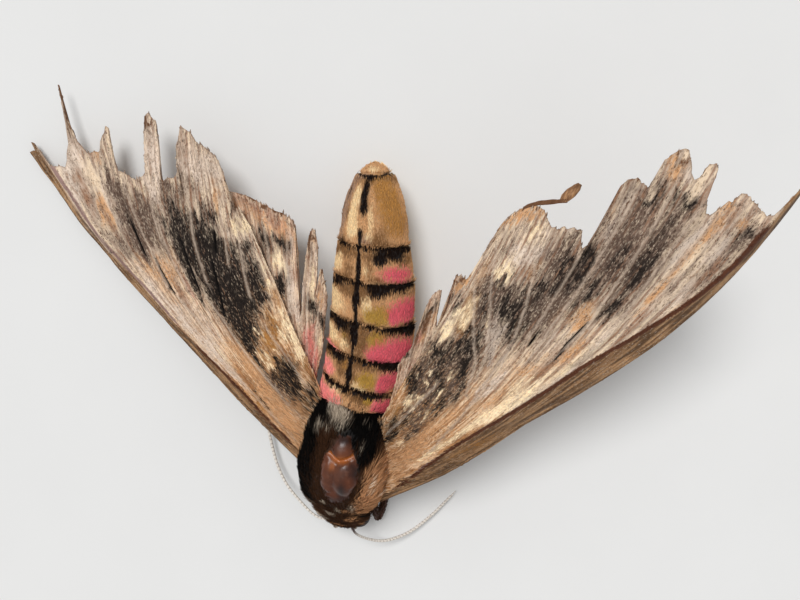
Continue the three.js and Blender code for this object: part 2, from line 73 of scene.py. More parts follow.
def chance(cells, seed):
    """A fixed random number from 0 to 1 for each row of whole numbers."""
    code = (cells * np.array([73856093, 19349663, 83492791])[: cells.shape[-1]]).sum(-1) + seed * 374761393
    code = (code ^ (code >> 13)) * 1274126177
    return ((code ^ (code >> 16)) & 0xFFFFFF) / float(0x1000000)


def cloud(points, size, seed):
    """Smooth noise from -1 to 1, with lumps of that size, at rows of points."""
    scaled = points / size
    cells = np.floor(scaled).astype(np.int64)
    f = scaled - cells
    f = f * f * (3 - 2 * f)
    total = np.zeros(len(points))
    for corner in np.ndindex(*[2] * points.shape[1]):
        weight = np.where(corner, f, 1 - f).prod(-1)
        total += weight * chance(cells + np.array(corner), seed)
    return 2 * total - 1


def unit(vectors):
    return vectors / np.maximum(np.linalg.norm(vectors, axis=-1, keepdims=True), 1e-9)


def column(values):
    return np.asarray(values)[..., None]


def marked(marks, a, b, lean=lambda a, b: 0.0):
    """How strongly soft oval marks cover each place. A mark is its middle, its half sizes and its strength,
    and `lean` says how much a it gains for each b."""
    bare = np.ones(np.shape(a))
    for middle_a, middle_b, half_a, half_b, *strength in marks:
        beside = a - middle_a - lean(middle_a, middle_b) * (b - middle_b)
        oval = np.exp(-((beside / half_a) ** 2) - ((b - middle_b) / half_b) ** 2)
        bare = bare * (1 - (strength[0] if strength else 1) * oval)
    return 1 - bare


# ---- The body's shape ----

# Cross sections from head to tail: centre x, y, z, half width, half height, and how many degrees the
# section turns clockwise, seen from above.
SECTIONS = np.array([
    [-2.6, -17.65, 5.0, 0.5, 0.5, 4],
    [-2.6, -17.3, 5.1, 1.1, 1.0, 4],
    [-2.6, -16.8, 5.3, 2.2, 1.9, 4],
    [-2.6, -15.9, 5.7, 3.0, 2.5, 5],
    [-2.6, -14.9, 6.1, 3.4, 3.0, 6],
    [-2.55, -13.95, 6.5, 3.5, 3.2, 6],
    [-2.5, -12.7, 6.9, 4.7, 4.5, 6],
    [-2.35, -11.2, 7.2, 5.3, 5.2, 7],
    [-2.1, -8.8, 7.5, 5.6, 5.7, 8],
    [-1.7, -5.8, 7.5, 5.5, 5.6, 9],
    [-1.3, -3.2, 7.3, 5.1, 5.1, 11],
    [-0.9, -1.3, 7.1, 4.5, 4.6, 13],
    [-0.1, 1.4, 6.9, 4.75, 4.7, 15],
    [0.6, 4.8, 6.6, 4.9, 4.8, 13],
    [1.1, 8.6, 6.3, 4.95, 4.85, 11],
    [1.25, 13.2, 6.0, 4.75, 4.65, 8],
    [1.25, 17.2, 5.6, 4.15, 4.05, 5],
    [1.35, 20.0, 5.2, 3.85, 3.8, 4],
    [1.4, 22.3, 4.9, 3.35, 3.3, 3],
    [1.45, 24.6, 4.6, 2.45, 2.4, 2],
    [1.4, 25.6, 4.45, 1.45, 1.45, 1],
    [1.4, 26.2, 4.35, 0.75, 0.75, 0],
])
NOSE, TAIL = SECTIONS[0, 1], SECTIONS[-1, 1]
NECK, WAIST = -13.6, -1.0
RING_JOINTS = np.array([-1.0, 1.4, 4.8, 8.6, 13.2, 17.1, 24.9, 27.5])
ROUNDED_END = 0.4                # how far from its tips the body's nose and tail are rounded off
LEAST_RADIUS = 0.15              # of the body, so that its skin never turns inside out
# How deep the skin lies inside the solids: under the coat of each part, and where it is bald.
HEAD_COAT, THORAX_COAT, BALD_DEPTH, ABDOMEN_COAT = 0.42, 0.6, 0.35, 0.26


def eased_sections(spacing=0.1, ease=0.35):
    """The sections at close, even steps along the body, with the corners between them eased."""
    y = np.arange(NOSE, TAIL + spacing, spacing)
    reach = int(3 * ease / spacing)
    weights = hump(np.arange(-reach, reach + 1) * spacing, 0, ease * math.sqrt(2))
    table = [y]
    for k in (0, 2, 3, 4, 5):
        raw = np.interp(y, SECTIONS[:, 1], SECTIONS[:, k])
        table.append(np.convolve(np.pad(raw, reach, mode="edge"), weights / weights.sum(), "valid"))
    return table


EASED = eased_sections()


def body_frame(y):
    """Centre, direction to the left side, direction to the back and half sizes of the section at y."""
    x, z, half_width, half_height, turn = (np.interp(y, EASED[0], values) for values in EASED[1:])
    turn = np.radians(turn)
    level = np.zeros_like(turn)
    side = np.stack([np.cos(turn), -np.sin(turn), level + math.tan(BODY_LEAN)], -1) * math.cos(BODY_LEAN)
    back = np.stack([-np.cos(turn), np.sin(turn), level + 1 / math.tan(BODY_LEAN)], -1) * math.sin(BODY_LEAN)
    return np.stack([x, y, z], -1), side, back, half_width, half_height


# Angles round the body, in degrees: 0 is its left side, 90 its back, 180 its right side, -90 its belly.


def from_back(angle):
    """Degrees from the middle of the back, either way."""
    return np.abs((angle + 90) % 360 - 180)


def round_trunk(y, angle, radius):
    """Places on a plain tube, on which noise has no seam."""
    around = np.radians(angle)
    return np.stack([y, radius * np.cos(around), radius * np.sin(around)], -1)


BALD_MIDDLE, BALD_ANGLE = -7.9, 78


def bald(y, angle):
    """1 on the worn, hairless middle of the thorax, 0 where the fur is whole."""
    flat = np.stack([y, angle / 10], -1)
    wander = 0.14 * cloud(flat, 0.8, 5) + 0.08 * cloud(flat, 0.3, 6)
    far = np.hypot((y - BALD_MIDDLE) / 4.6, (angle - BALD_ANGLE) / 26) + wander
    return 1 - step(0.72, 1.06, far)


def groove(y, angle):
    """The V-shaped groove across the bare thorax."""
    return hump(y, -6.5 + 0.052 * np.abs(angle - 79), 0.3)


# The domes of the bare plates: a small one behind the groove, a long one before it and one on its flank.
# Each is a middle (y, angle), half sizes in both and a height.
PLATES = [(-4.9, 77, 1.35, 15, 0.5), (-8.4, 69, 2.1, 15, 0.55), (-8.8, 92, 2.3, 8, 0.35)]


def plates(y, angle):
    """Relief of the bare plates of the thorax."""
    domes = sum(height * np.sqrt(np.clip(1 - ((y - middle_y) / half_y) ** 2
                                         - ((angle - middle_angle) / half_angle) ** 2, 0, 1))
                for middle_y, middle_angle, half_y, half_angle, height in PLATES)
    return domes - 0.4 * groove(y, angle)


def rings(y):
    """Relief of the abdomen's rings: each swells toward its hind edge, which overlaps the next one."""
    ring = np.clip(np.searchsorted(RING_JOINTS, y) - 1, 0, len(RING_JOINTS) - 2)
    start, stop = RING_JOINTS[ring], RING_JOINTS[ring + 1]
    f = np.clip((y - start) / (stop - start), 0, 1)
    lips = sum(hump(y, joint, 0.17) for joint in RING_JOINTS[:-1])
    return 0.1 * np.sin(math.pi * f) + 0.16 * f ** 3 - 0.3 * lips


def tegulae(y, angle):
    """The two flaps over the wings' shoulders."""
    return sum(marked([(-9.1, middle, 3.2, 19)], y, angle) for middle in (34, 146))


def body_relief(y, angle):
    """How far the skin lies outside the body's sections, in millimetres; below 0 under the coat."""
    head = 1 - step(NECK - 0.5, NECK + 0.7, y)
    abdomen = step(WAIST - 0.4, WAIST + 0.3, y)
    thorax = (1 - head) * (1 - abdomen)
    bare = bald(y, angle)
    lumps = 0.1 * cloud(round_trunk(y, angle, 4), 1.6, 11)
    depth = HEAD_COAT * head + ABDOMEN_COAT * abdomen + thorax * mix(THORAX_COAT, BALD_DEPTH, bare)
    eyes = 0.9 * head * (hump(y, FACE_Y, 1.3) * (hump(angle, -18, 28) + hump(angle, 198, 28)))
    cheek = 0.55 * marked([(-12.8, 172, 2.2, 34)], y, angle)
    return (bare * plates(y, angle) + cheek + abdomen * rings(y) + 0.5 * tegulae(y, angle)
            + (1 - bare) * lumps - depth - eyes)


def skin_point(y, angle):
    centre, side, back, half_width, half_height = body_frame(y)
    rounding = np.sqrt(np.clip(np.minimum(y - NOSE, TAIL - y) / ROUNDED_END, 0, 1))
    relief = body_relief(y, angle)
    around = np.radians(angle)
    across = np.maximum(half_width + relief, LEAST_RADIUS) * rounding * np.cos(around)
    up = np.maximum(half_height + relief, LEAST_RADIUS) * rounding * np.sin(around)
    return centre + side * column(across) + back * column(up)


def face_place(out, up):
    """A place in the face's cross section."""
    centre, side, back, _, _ = body_frame(np.array([FACE_Y]))
    return (centre + side * out + back * up)[0]


def eye_middle(side):
    return face_place(EYE_OUT * side, -EYE_DOWN)


def shift_to_packed_frame():
    """From the moth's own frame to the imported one, along the floor, by the place of an eye in both."""
    low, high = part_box("eye_left")
    shift = (np.array(low) + np.array(high)) / 2 / MM - eye_middle(SIDES["left"])
    return shift * [1, 1, 0]


SHIFT = shift_to_packed_frame()


def packed(points):
    """Points of the moth's own frame, in millimetres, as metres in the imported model's frame."""
    return (np.asarray(points, float) + SHIFT) * MM


# ---- Markings of the body ----


def joint_line(y, angle):
    """The dark line along each joint, bent where the fur is pulled askew."""
    bend = 0.35 * hump(angle, 15, 30) + 0.25 * hump(angle, 150, 22) - 0.8 * step(160, 205, angle)
    lines = sum(hump(y, joint - 0.35 + bend, 0.2) for joint in RING_JOINTS[1:-1])
    return np.clip(lines, 0, 1) * (0.8 + 0.2 * hump(angle, 20, 60))


BLACK_MARKS = [
    # bars on the left flank, just before each joint
    (16.3, 32, 0.72, 20), (15.8, 60, 0.85, 11), (16.7, 0, 0.35, 24, 0.8), (12.3, 64, 0.8, 13),
    (12.9, 36, 0.55, 25), (13.1, 0, 0.4, 25, 0.9), (8.4, 5, 0.75, 28), (8.2, 40, 0.35, 18, 0.9),
    (4.2, 20, 0.42, 42), (0.8, 40, 0.2, 25), (0.7, 66, 0.35, 14, 0.7), (2.1, 15, 0.35, 12, 0.4),
    # wedges on the right flank
    (12.4, 130, 0.42, 15, 0.85), (12.1, 158, 0.5, 16), (11.6, 185, 0.5, 16), (7.6, 116, 0.65, 16, 0.9),
    (7.9, 150, 0.38, 25, 0.95), (7.2, 175, 0.55, 16), (6.6, 195, 0.8, 12), (4.0, 114, 0.5, 12, 0.9),
    (4.2, 140, 0.25, 18, 0.95), (3.6, 165, 0.32, 14, 0.85), (3.0, 190, 0.6, 14), (0.9, 120, 0.2, 14),
    (1.2, 155, 0.27, 16, 0.9), (16.8, 128, 0.3, 8, 0.6), (17.3, 132, 0.4, 8, 0.5),
    # spots on the line along the back, and blots on the tail
    (2.6, 92, 0.6, 5, 0.85), (7.2, 93, 0.9, 6, 0.85), (10.8, 95, 0.8, 5, 0.8), (14.6, 94, 1.1, 5, 0.75),
    (0.8, 92, 0.35, 8, 0.7), (21.1, 90, 0.8, 9.5), (22.2, 92, 0.5, 7, 0.8), (23.2, 90, 0.9, 8, 0.85),
    (24.4, 82, 0.6, 11, 0.75), (18.4, 93, 0.7, 6, 0.7), (22.6, 138, 1.4, 5, 0.5), (20.6, 150, 1.2, 5, 0.45),
]
PINK_MARKS = [
    (14.2, 28, 0.9, 38, 0.74), (10.4, 12, 1.3, 34), (9.6, 38, 0.7, 9, 0.8), (5.9, 22, 1.6, 42),
    (5.4, 56, 0.7, 14, 0.95), (2.4, 40, 1.0, 12), (2.8, 22, 0.9, 24, 0.85), (-0.4, 27, 1.0, 23),
    (-0.2, 0, 0.6, 12, 0.5),
]
BLUSH_MARKS = [
    (-0.6, 114, 0.6, 18, 0.7), (-0.4, 135, 0.9, 28), (-0.7, 172, 1.1, 24), (2.4, 131, 0.8, 15, 0.8),
    (2.2, 160, 1.2, 19), (1.5, 184, 1.1, 18), (4.9, 140, 0.4, 26, 0.7), (9.6, 162, 1.0, 15, 0.45),
    (5.9, 164, 0.8, 15, 0.5), (13.9, 164, 0.8, 14, 0.3), (6.9, 40, 0.3, 12, 0.6), (0.0, 47, 0.7, 5, 0.8),
    (2.2, 50, 0.8, 4, 0.8),
]
OLIVE_MARKS = [
    (6.9, 62, 0.9, 13), (9.6, 66, 1.0, 19, 0.8), (10.1, 50, 0.7, 12, 0.7), (2.5, 66, 0.9, 14, 0.95),
    (0.4, 56, 0.6, 8, 0.9), (1.9, 14, 0.5, 16, 0.6), (6.6, 108, 0.6, 8, 0.4),
]
CREAM_MARKS = [
    (9.9, 150, 1.15, 32), (10.9, 150, 0.6, 28, 0.9), (6.3, 145, 0.8, 25), (5.4, 190, 0.9, 20, 0.9),
    (14.3, 152, 0.75, 24), (15.2, 135, 0.8, 12, 0.5), (20.0, 112, 2.0, 11, 0.95), (22.6, 108, 1.0, 9, 0.85),
    (18.6, 110, 0.8, 12, 0.7), (10.4, 78, 1.2, 8, 0.7), (9.4, 60, 0.3, 12, 0.5), (1.6, 75, 0.4, 12, 0.8),
    (5.6, 108, 0.7, 10, 0.5), (0.2, 112, 0.5, 14, 0.8), (18.0, 80, 0.5, 8, 0.5), (25.4, 80, 0.3, 40, 0.6),
    (20.0, 76, 2.0, 7, 0.5), (14.4, 82, 0.8, 7, 0.4),
]
BISTRE_MARKS = [
    (12.4, 78, 0.5, 20, 0.6), (16.2, 120, 0.5, 20, 0.6), (7.8, 60, 0.45, 16, 0.5), (4.0, 76, 0.4, 14, 0.6),
    (3.9, 145, 0.4, 20, 0.4), (19.0, 40, 0.8, 30, 0.35), (11.6, 160, 0.6, 20, 0.4),
    (17.5, 60, 0.35, 30, 0.6), (8.9, 84, 0.4, 8, 0.5), (13.6, 60, 0.3, 16, 0.5), (2.2, 84, 1.0, 9, 0.7),
    (2.9, 104, 1.0, 11, 0.75), (6.2, 82, 1.3, 11, 0.85), (6.7, 102, 1.2, 9, 0.85), (11.8, 96, 0.7, 26, 0.9),
    (14.2, 110, 1.2, 12, 0.5), (14.8, 77, 1.4, 9, 0.5), (15.9, 150, 0.6, 34, 0.7), (18.0, 60, 0.9, 16, 0.5),
    (10.9, 86, 1.0, 8, 0.5), (20.2, 136, 0.45, 22, 0.7), (17.4, 140, 0.4, 28, 0.7),
    (8.4, 112, 0.5, 14, 0.6), (24.4, 30, 0.35, 40, 0.7), (24.6, 110, 0.3, 20, 0.6), (4.6, 90, 0.5, 16, 0.5),
    (21.8, 128, 2.6, 5, 0.6), (0.3, 66, 0.8, 12, 0.8), (13.2, 130, 0.4, 30, 0.5), (15.4, 10, 0.5, 30, 0.5),
]
OCHRE_MARKS = [
    (21.8, 38, 2.8, 26, 0.9), (23.6, 60, 1.4, 16, 0.6), (19.4, 22, 1.6, 26, 0.5), (3.4, 100, 0.6, 9, 0.5),
]
MAUVE_MARKS = [
    (19.6, 150, 2.4, 20, 0.8), (22.8, 145, 1.8, 24, 0.95), (24.6, 110, 0.5, 20, 0.6),
    (10.6, -8, 1.0, 10, 0.6), (17.7, 85, 0.5, 14, 0.5), (15.6, 66, 0.5, 10, 0.4),
]
SOOT_MARKS = [
    (-3.2, 50, 1.9, 26), (-5.4, 42, 1.3, 12), (-2.6, 122, 1.4, 22), (-1.9, 20, 1.2, 22, 0.9),
    (-3.4, 88, 0.5, 16, 0.8), (-2.4, 66, 1.0, 10), (-2.2, 110, 0.9, 8), (-4.3, 62, 0.7, 12, 0.8),
    (-6.8, 50, 0.9, 7, 0.8), (-3.4, 155, 1.9, 26), (-7.6, 150, 3.4, 19, 0.95), (-10.3, 162, 2.2, 20, 0.9),
    (-5.6, 128, 1.4, 14, 0.8), (-7.0, 178, 3.4, 20, 0.85), (-14.4, 36, 0.5, 24, 0.7),
    (-15.8, 10, 0.5, 30, 0.5), (-12.6, 130, 0.7, 18, 0.6), (-8.8, 124, 2.8, 12, 0.5),
    (-11.6, 142, 1.3, 20, 0.45),
]
GREY_MARKS = [
    (-2.3, 93, 1.3, 16, 0.85), (-1.7, 106, 0.8, 14, 0.8), (-4.4, 105, 0.5, 5, 0.4),
    (-4.6, 120, 0.7, 6, 0.32), (-3.9, 118, 0.4, 7, 0.25), (-5.3, 52, 0.5, 5, 0.35),
    (-3.2, 42, 0.4, 4, 0.25), (-2.7, 53, 0.3, 5, 0.25), (-5.0, 160, 0.3, 26, 0.35),
    (-3.2, 160, 0.2, 20, 0.4), (-13.4, 80, 0.7, 6, 0.5), (-14.6, 98, 0.5, 12, 0.45),
    (-15.7, 130, 0.35, 26, 0.5), (-12.4, 100, 0.25, 4, 0.8), (-9.4, 114, 3.0, 5, 0.12),
    (-13.6, 140, 0.5, 22, 0.3), (-12.9, 54, 0.9, 7, 0.45),
]
RUST_MARKS = [
    (-11.6, 20, 1.9, 26), (-9.0, 12, 2.0, 26), (-9.6, 36, 2.2, 9, 0.95), (-6.6, 10, 1.9, 16, 0.9),
    (-13.4, 10, 0.8, 22, 0.8), (-5.2, -2, 1.4, 12, 0.6), (-14.4, 50, 0.6, 10, 0.5),
    (-12.6, 48, 1.0, 8, 0.5), (-15.2, 60, 0.4, 14, 0.45), (-13.6, 66, 0.4, 10, 0.45),
    (-16.4, 90, 0.3, 30, 0.5), (-16.0, 30, 0.3, 16, 0.5),
]
FLECK_MARKS = [
    (-10.3, 35, 0.35, 4, 0.5), (-9.9, 12, 0.2, 16, 0.6), (-9.0, 38, 0.9, 3, 0.35), (-9.4, 0, 0.25, 14, 0.8),
    (-8.6, 14, 0.2, 10, 0.5), (-11.3, 12, 0.2, 18, 0.6), (-7.4, 12, 0.4, 8, 0.6),
]


def body_marks(y, angle):
    """The strength of each colour of the body's coat at places on it."""
    belly = step(95, 125, from_back(angle))
    here = round_trunk(y, angle, 12)
    y, angle = y + 0.12 * cloud(here, 0.7, 41), angle + 2.5 * cloud(here, 1.6, 42)
    line = 0.78 * hump(angle, 92.5, 3) * step(0.2, 0.9, y) * (1 - step(17.6, 19.2, y))
    thorax = 1 - step(WAIST - 0.3, WAIST + 0.1, y + 0.25 * np.sin(np.radians(angle) * 7))
    black = marked(BLACK_MARKS, y, angle) * (1 - thorax)
    # Painted shade: browner toward the hind edge of each ring, just before its joint.
    painted_joint_shade = sum(hump(y, joint - 1.0, 0.55) for joint in RING_JOINTS[1:-1])
    return {
        "cream": np.clip(marked(CREAM_MARKS, y, angle) + 0.55 * belly * (1 - thorax), 0, 1),
        "bistre": np.clip(marked(BISTRE_MARKS, y, angle) + 0.4 * (1 - belly) * painted_joint_shade, 0, 1),
        "ochre": marked(OCHRE_MARKS, y, angle),
        "mauve": marked(MAUVE_MARKS, y, angle) * (1 - belly),
        "olive": marked(OLIVE_MARKS, y, angle),
        "blush": marked(BLUSH_MARKS, y, angle) * (1 - belly),
        "pink": marked(PINK_MARKS, y, angle) * (1 - belly),
        "umber": np.clip(thorax + 0.25 * (1 - step(1.0, 2.5, y)) * belly, 0, 1),
        "rust": marked(RUST_MARKS, y, angle) * (1 - belly),
        "soot": np.clip(marked(SOOT_MARKS, y, angle) * thorax, 0, 1),
        "fleck": marked(FLECK_MARKS, y, angle) * (1 - belly),
        "grey": np.clip(marked(GREY_MARKS, y, angle) + 0.5 * belly * thorax, 0, 1),
        "black": np.clip(black + line + 0.9 * joint_line(y, angle), 0, 1) * (1 - 0.7 * belly),
        "bald": bald(y, angle),
    }


# ---- The wings' shape ----

# A wing lies in its own flat frame: `along` runs from the shoulder down the leading edge and `across`
# from there toward the trailing edge. Its rays run from the root to the margin as the veins do. u is 0 on
# the leading edge and 1 on the trailing one; t is 0 at the root and 1 at the margin. On a fanned wing the
# fibres of the membrane, s from 0 to 1, lean back from the rays toward the margin.
RIGHT_FOREWING = dict(
    shoulder=(-7.0, -9.0, 7.5), along=(-0.643, 0.754, -0.134), across=(0.723, 0.655, 0.218),
    tip=(54.5, 0.4), crown=(45.3, 16.8), corner=(31, 16.5), root_front=(0, 0), root_back=(6.3, 8.2),
    pull=(-2.9, -5.7), bow=(3, -3.2), edge=[
        (0, 0), (0.3, 0.34), (0.5, 0.8), (0.7, 1.1), (0.9, 0.5), (1, 0.3),
    ],
    camber=0.6, fold_drop=0.35, droop=0.3, drop=0, fan=0.27, lean=lambda u, t: 0.5 * step(0.35, 0.55, t),
    # the thick rod and bare strip along the leading edge reach back to this u, at each t
    strip=[
        (0, 0.11), (0.1, 0.115), (0.15, 0.125), (0.2, 0.12), (0.25, 0.11), (0.3, 0.09), (0.4, 0.065),
        (0.5, 0.058), (0.55, 0.045), (0.6, 0.035), (1, 0.033),
    ],
    ridge=(0.03, 0.34), plum=(0.4, 0.84),
    # how far the membrane still reaches along its fibres: (s, t) pairs around the torn margin
    reach=[
        (0, 0.885), (0.022, 0.885), (0.026, 0.905), (0.034, 0.9), (0.037, 0.84), (0.057, 0.835),
        (0.065, 0.85), (0.071, 0.87), (0.08, 0.89), (0.0835, 0.915), (0.0853, 0.955), (0.0861, 1.03),
        (0.0869, 1.03), (0.0877, 0.955), (0.0905, 0.9), (0.1, 0.873), (0.125, 0.872), (0.135, 0.88),
        (0.14, 0.9), (0.156, 0.915), (0.166, 0.925), (0.172, 0.936), (0.186, 0.932), (0.19, 0.9),
        (0.1915, 0.87), (0.198, 0.83), (0.235, 0.825), (0.28, 0.813), (0.323, 0.825), (0.338, 0.84),
        (0.344, 0.87), (0.347, 0.95), (0.355, 0.99), (0.37, 1), (0.39, 0.99), (0.41, 0.985), (0.4155, 0.97),
        (0.417, 0.9), (0.419, 0.84), (0.424, 0.82), (0.47, 0.84), (0.507, 0.85), (0.52, 0.86),
        (0.525, 0.93), (0.535, 0.96), (0.548, 1.0), (0.556, 1.02), (0.58, 1.015), (0.67, 1.005),
        (0.74, 1.02), (0.8, 1.03), (0.85, 1.01), (0.875, 0.95), (0.885, 0.86), (0.892, 0.8), (0.91, 0.8),
        (0.95, 0.815), (1, 0.85),
    ],
    smooth_margin=(0.57, 0.86),
)
LEFT_FOREWING = dict(
    shoulder=(3.0, -12.0, 11.5), along=(0.665, 0.684, 0.3), across=(-0.688, 0.717, -0.11),
    tip=(54.5, -0.7), crown=(46, 16.6), corner=(32.5, 15.1), root_front=(0, 0), root_back=(5.0, 7.6),
    pull=(-2.9, -5.2), bow=(8, -7.6), edge=[(0, 0), (0.1, 0), (0.28, -0.8), (0.42, -0.4), (0.6, 0), (1, 0)],
    camber=0.8, fold_drop=1.3, droop=2.2, drop=0, fan=0, lean=lambda u, t: 0.6 * step(0.4, 0.55, u),
    strip=[
        (0, 0.1), (0.03, 0.14), (0.09, 0.2), (0.15, 0.235), (0.2, 0.245), (0.27, 0.235), (0.35, 0.2),
        (0.43, 0.17), (0.5, 0.145), (0.58, 0.1), (0.65, 0.065), (0.72, 0.04), (0.8, 0.025), (1, 0.02),
    ],
    ridge=(0.0, 0.9), plum=(0.04, 0.13),
    reach=[
        (0, 1.02), (0.014, 0.97), (0.028, 0.925), (0.04, 0.92), (0.055, 0.928), (0.085, 0.94), (0.1, 0.957),
        (0.124, 0.953), (0.132, 0.935), (0.142, 0.935), (0.163, 0.898), (0.178, 0.9), (0.195, 0.93),
        (0.212, 0.99), (0.222, 1), (0.238, 1), (0.241, 0.975), (0.255, 0.968), (0.275, 0.98), (0.292, 1),
        (0.31, 1.018), (0.335, 1.018), (0.365, 1), (0.368, 0.95), (0.372, 0.942), (0.4, 0.953),
        (0.42, 0.958), (0.45, 0.955), (0.462, 0.945), (0.464, 0.88), (0.466, 0.82), (0.48, 0.813),
        (0.5, 0.832), (0.525, 0.855), (0.56, 0.863), (0.615, 0.86), (0.65, 0.87), (0.7, 0.9), (0.73, 0.925),
        (0.76, 0.937), (0.8, 0.955), (0.85, 0.963), (0.95, 0.988), (1, 0.975),
    ],
    smooth_margin=(0.7, 1),
)
# What both hindwings have: an even leading edge with a narrow strip, and no fan.
PLAIN_HINDWING = dict(
    pull=(-1, -1.5), bow=(0, 0), edge=[(0, 0), (1, 0)], camber=0.3, fold_drop=0.2, fan=0,
    lean=lambda u, t: 0 * u, strip=[(0, 0.03), (1, 0.03)], ridge=(0, 1), plum=(0, 0),
)
RIGHT_HINDWING = dict(
    RIGHT_FOREWING, **PLAIN_HINDWING, tip=(36, 9), crown=(27, 21), corner=(14, 17.5), root_front=(3, 1),
    root_back=(5.7, 6.0), droop=0, drop=1.35,
    reach=[
        (0, 0.97), (0.31, 0.985), (0.415, 0.99), (0.56, 0.995), (0.62, 1.005), (0.67, 1.02), (0.695, 1.0),
        (0.705, 0.62), (0.72, 0.56), (0.738, 0.6), (0.755, 0.75), (0.77, 0.9), (0.795, 1.06), (0.82, 1.09),
        (0.845, 1.04), (0.853, 0.8), (0.862, 0.72), (0.88, 0.93), (0.895, 0.95), (0.955, 0.85),
        (0.975, 0.66), (1, 0.5),
    ],
    smooth_margin=(0, 0.69),
)
LEFT_HINDWING = dict(
    LEFT_FOREWING, **PLAIN_HINDWING, tip=(34, 6), crown=(30, 15.5), corner=(15, 13), root_front=(3, 0.5),
    root_back=(4.6, 6.6), droop=0.6, drop=3,
    reach=[
        (0, 0.8), (0.12, 0.86), (0.2, 0.78), (0.33, 0.84), (0.4, 0.72), (0.52, 0.84), (0.6, 0.97),
        (0.66, 1.02), (0.71, 1.06), (0.73, 0.8), (0.76, 0.86), (0.79, 1.05), (0.86, 1.09), (0.885, 1.02),
        (0.9, 0.78), (1, 0.7),
    ],
    smooth_margin=(0.6, 0.7),
)

# Veins as rows of (u, t), each with its thickness in the middle of a wing, millimetres.
FOREWING_VEINS = {
    "right": [
        (0.24, [
            (0.035, 0.6), (0.06, 0.67), (0.09, 0.75), (0.11, 0.8), (0.14, 0.86), (0.17, 0.9), (0.2, 0.95),
            (0.22, 1.0),
        ]),
        (0.22, [
            (0.14, 0.6), (0.16, 0.66), (0.2, 0.75), (0.23, 0.81), (0.26, 0.85), (0.3, 0.88), (0.36, 0.925),
        ]),
        (0.14, [(0.22, 0.5), (0.265, 0.6), (0.3, 0.7), (0.33, 0.8)]),
        (0.14, [(0.36, 0.5), (0.38, 0.58), (0.4, 0.65), (0.42, 0.72)]),
        (0.3, [(0.38, 0.65), (0.4, 0.7), (0.45, 0.78), (0.49, 0.85), (0.53, 0.92), (0.56, 0.96)]),
        (0.16, [(0.54, 0.53), (0.6, 0.68), (0.65, 0.76), (0.68, 0.84), (0.7, 0.9), (0.75, 0.97)]),
        (0.16, [(0.79, 0.46), (0.81, 0.52), (0.86, 0.62), (0.9, 0.7), (0.94, 0.8)]),
        (0.16, [(0.74, 0.58), (0.8, 0.68), (0.84, 0.78), (0.87, 0.88), (0.9, 0.98)]),
        (0.18, [(0.2, 0.03), (0.232, 0.175), (0.27, 0.32), (0.29, 0.42), (0.26, 0.5)]),
        (0.18, [(0.5, 0.03), (0.52, 0.15), (0.5, 0.3), (0.5, 0.42), (0.47, 0.5)]),
        (0.18, [(0.85, 0.03), (0.82, 0.2), (0.79, 0.35)]),
    ],
    "left": [
        (0.2, [(0.19, 0.5), (0.175, 0.6), (0.19, 0.68), (0.2, 0.75), (0.2, 0.93)]),
        (0.16, [(0.12, 0.62), (0.105, 0.72), (0.1, 0.84), (0.105, 0.94)]),
        (0.18, [(0.29, 0.5), (0.27, 0.6), (0.285, 0.72), (0.29, 0.85), (0.3, 0.97)]),
        (0.18, [(0.38, 0.5), (0.4, 0.62), (0.4, 0.75), (0.4, 0.93)]),
        (0.16, [(0.46, 0.56), (0.47, 0.68), (0.475, 0.8)]),
        (0.22, [
            (0.34, 0.14), (0.38, 0.18), (0.42, 0.25), (0.45, 0.33), (0.47, 0.4), (0.5, 0.45), (0.52, 0.55),
        ]),
        (0.18, [
            (0.55, 0.42), (0.6, 0.5), (0.66, 0.56), (0.73, 0.63), (0.8, 0.7), (0.87, 0.8), (0.95, 0.9),
        ]),
        (0.16, [(0.52, 0.36), (0.57, 0.4), (0.62, 0.47), (0.7, 0.52), (0.8, 0.6), (0.9, 0.7)]),
        (0.16, [(0.52, 0.56), (0.57, 0.66), (0.63, 0.76), (0.7, 0.86)]),
        (0.18, [(0.8, 0.03), (0.79, 0.2), (0.75, 0.35)]),
    ],
}
HINDWING_VEINS = [
    *((0.14, [(u, 0.04), (mix(u, 0.5, 0.1), 0.4), (u, 0.93)]) for u in (0.08, 0.22, 0.36, 0.48)),
    (0.16, [(0.58, 0.04), (0.6, 0.57), (0.615, 0.75), (0.64, 0.95)]),
    (0.12, [(0.8, 0.05), (0.78, 0.58), (0.815, 1.03)]),
    (0.12, [(0.9, 0.05), (0.9, 0.6), (0.91, 0.9)]),
]

# Cracks and creases where the membrane has folded sharply, sunk into it and painted near black as the shade
# inside them: a row of (u, t) for each.
FOREWING_CREASES = {
    "right": [
        [(0.235, 0.49), (0.25, 0.54), (0.265, 0.595)],
        [(0.435, 0.51), (0.465, 0.575), (0.5, 0.66)],
        [(0.522, 0.43), (0.57, 0.49), (0.64, 0.6)],
        [(0.205, 0.6), (0.228, 0.65), (0.245, 0.69)],
        [(0.69, 0.63), (0.71, 0.66), (0.735, 0.7)],
    ],
    "left": [[(0.276, 0.52), (0.285, 0.57), (0.277, 0.62)], [(0.43, 0.55), (0.437, 0.58)]],
}
# The torn strip that still hangs on the left forewing's margin: rows of u, t and the half widths in u and t.
SLIVERS = {
    "sliver_band": [
        (0.87, 0.966, 0, 0.006), (0.8, 0.957, 0, 0.006), (0.74, 0.946, 0, 0.006), (0.69, 0.936, 0, 0.005),
        (0.64, 0.932, 0, 0.005),
    ],
    "sliver_tip": [
        (0.65, 0.93, 0.012, 0), (0.648, 0.938, 0.028, 0), (0.645, 0.95, 0.034, 0), (0.64, 0.961, 0.026, 0),
        (0.637, 0.967, 0.01, 0),
    ],
}


def fanned(wing, s, t):
    """The u of a fibre s at t."""
    lean = wing["fan"] * (t - 0.6 + np.sqrt((t - 0.6) ** 2 + 0.01))
    return s + lean * np.clip((s - 0.035) / 0.085, 0, 1) * (1 - s ** 4)


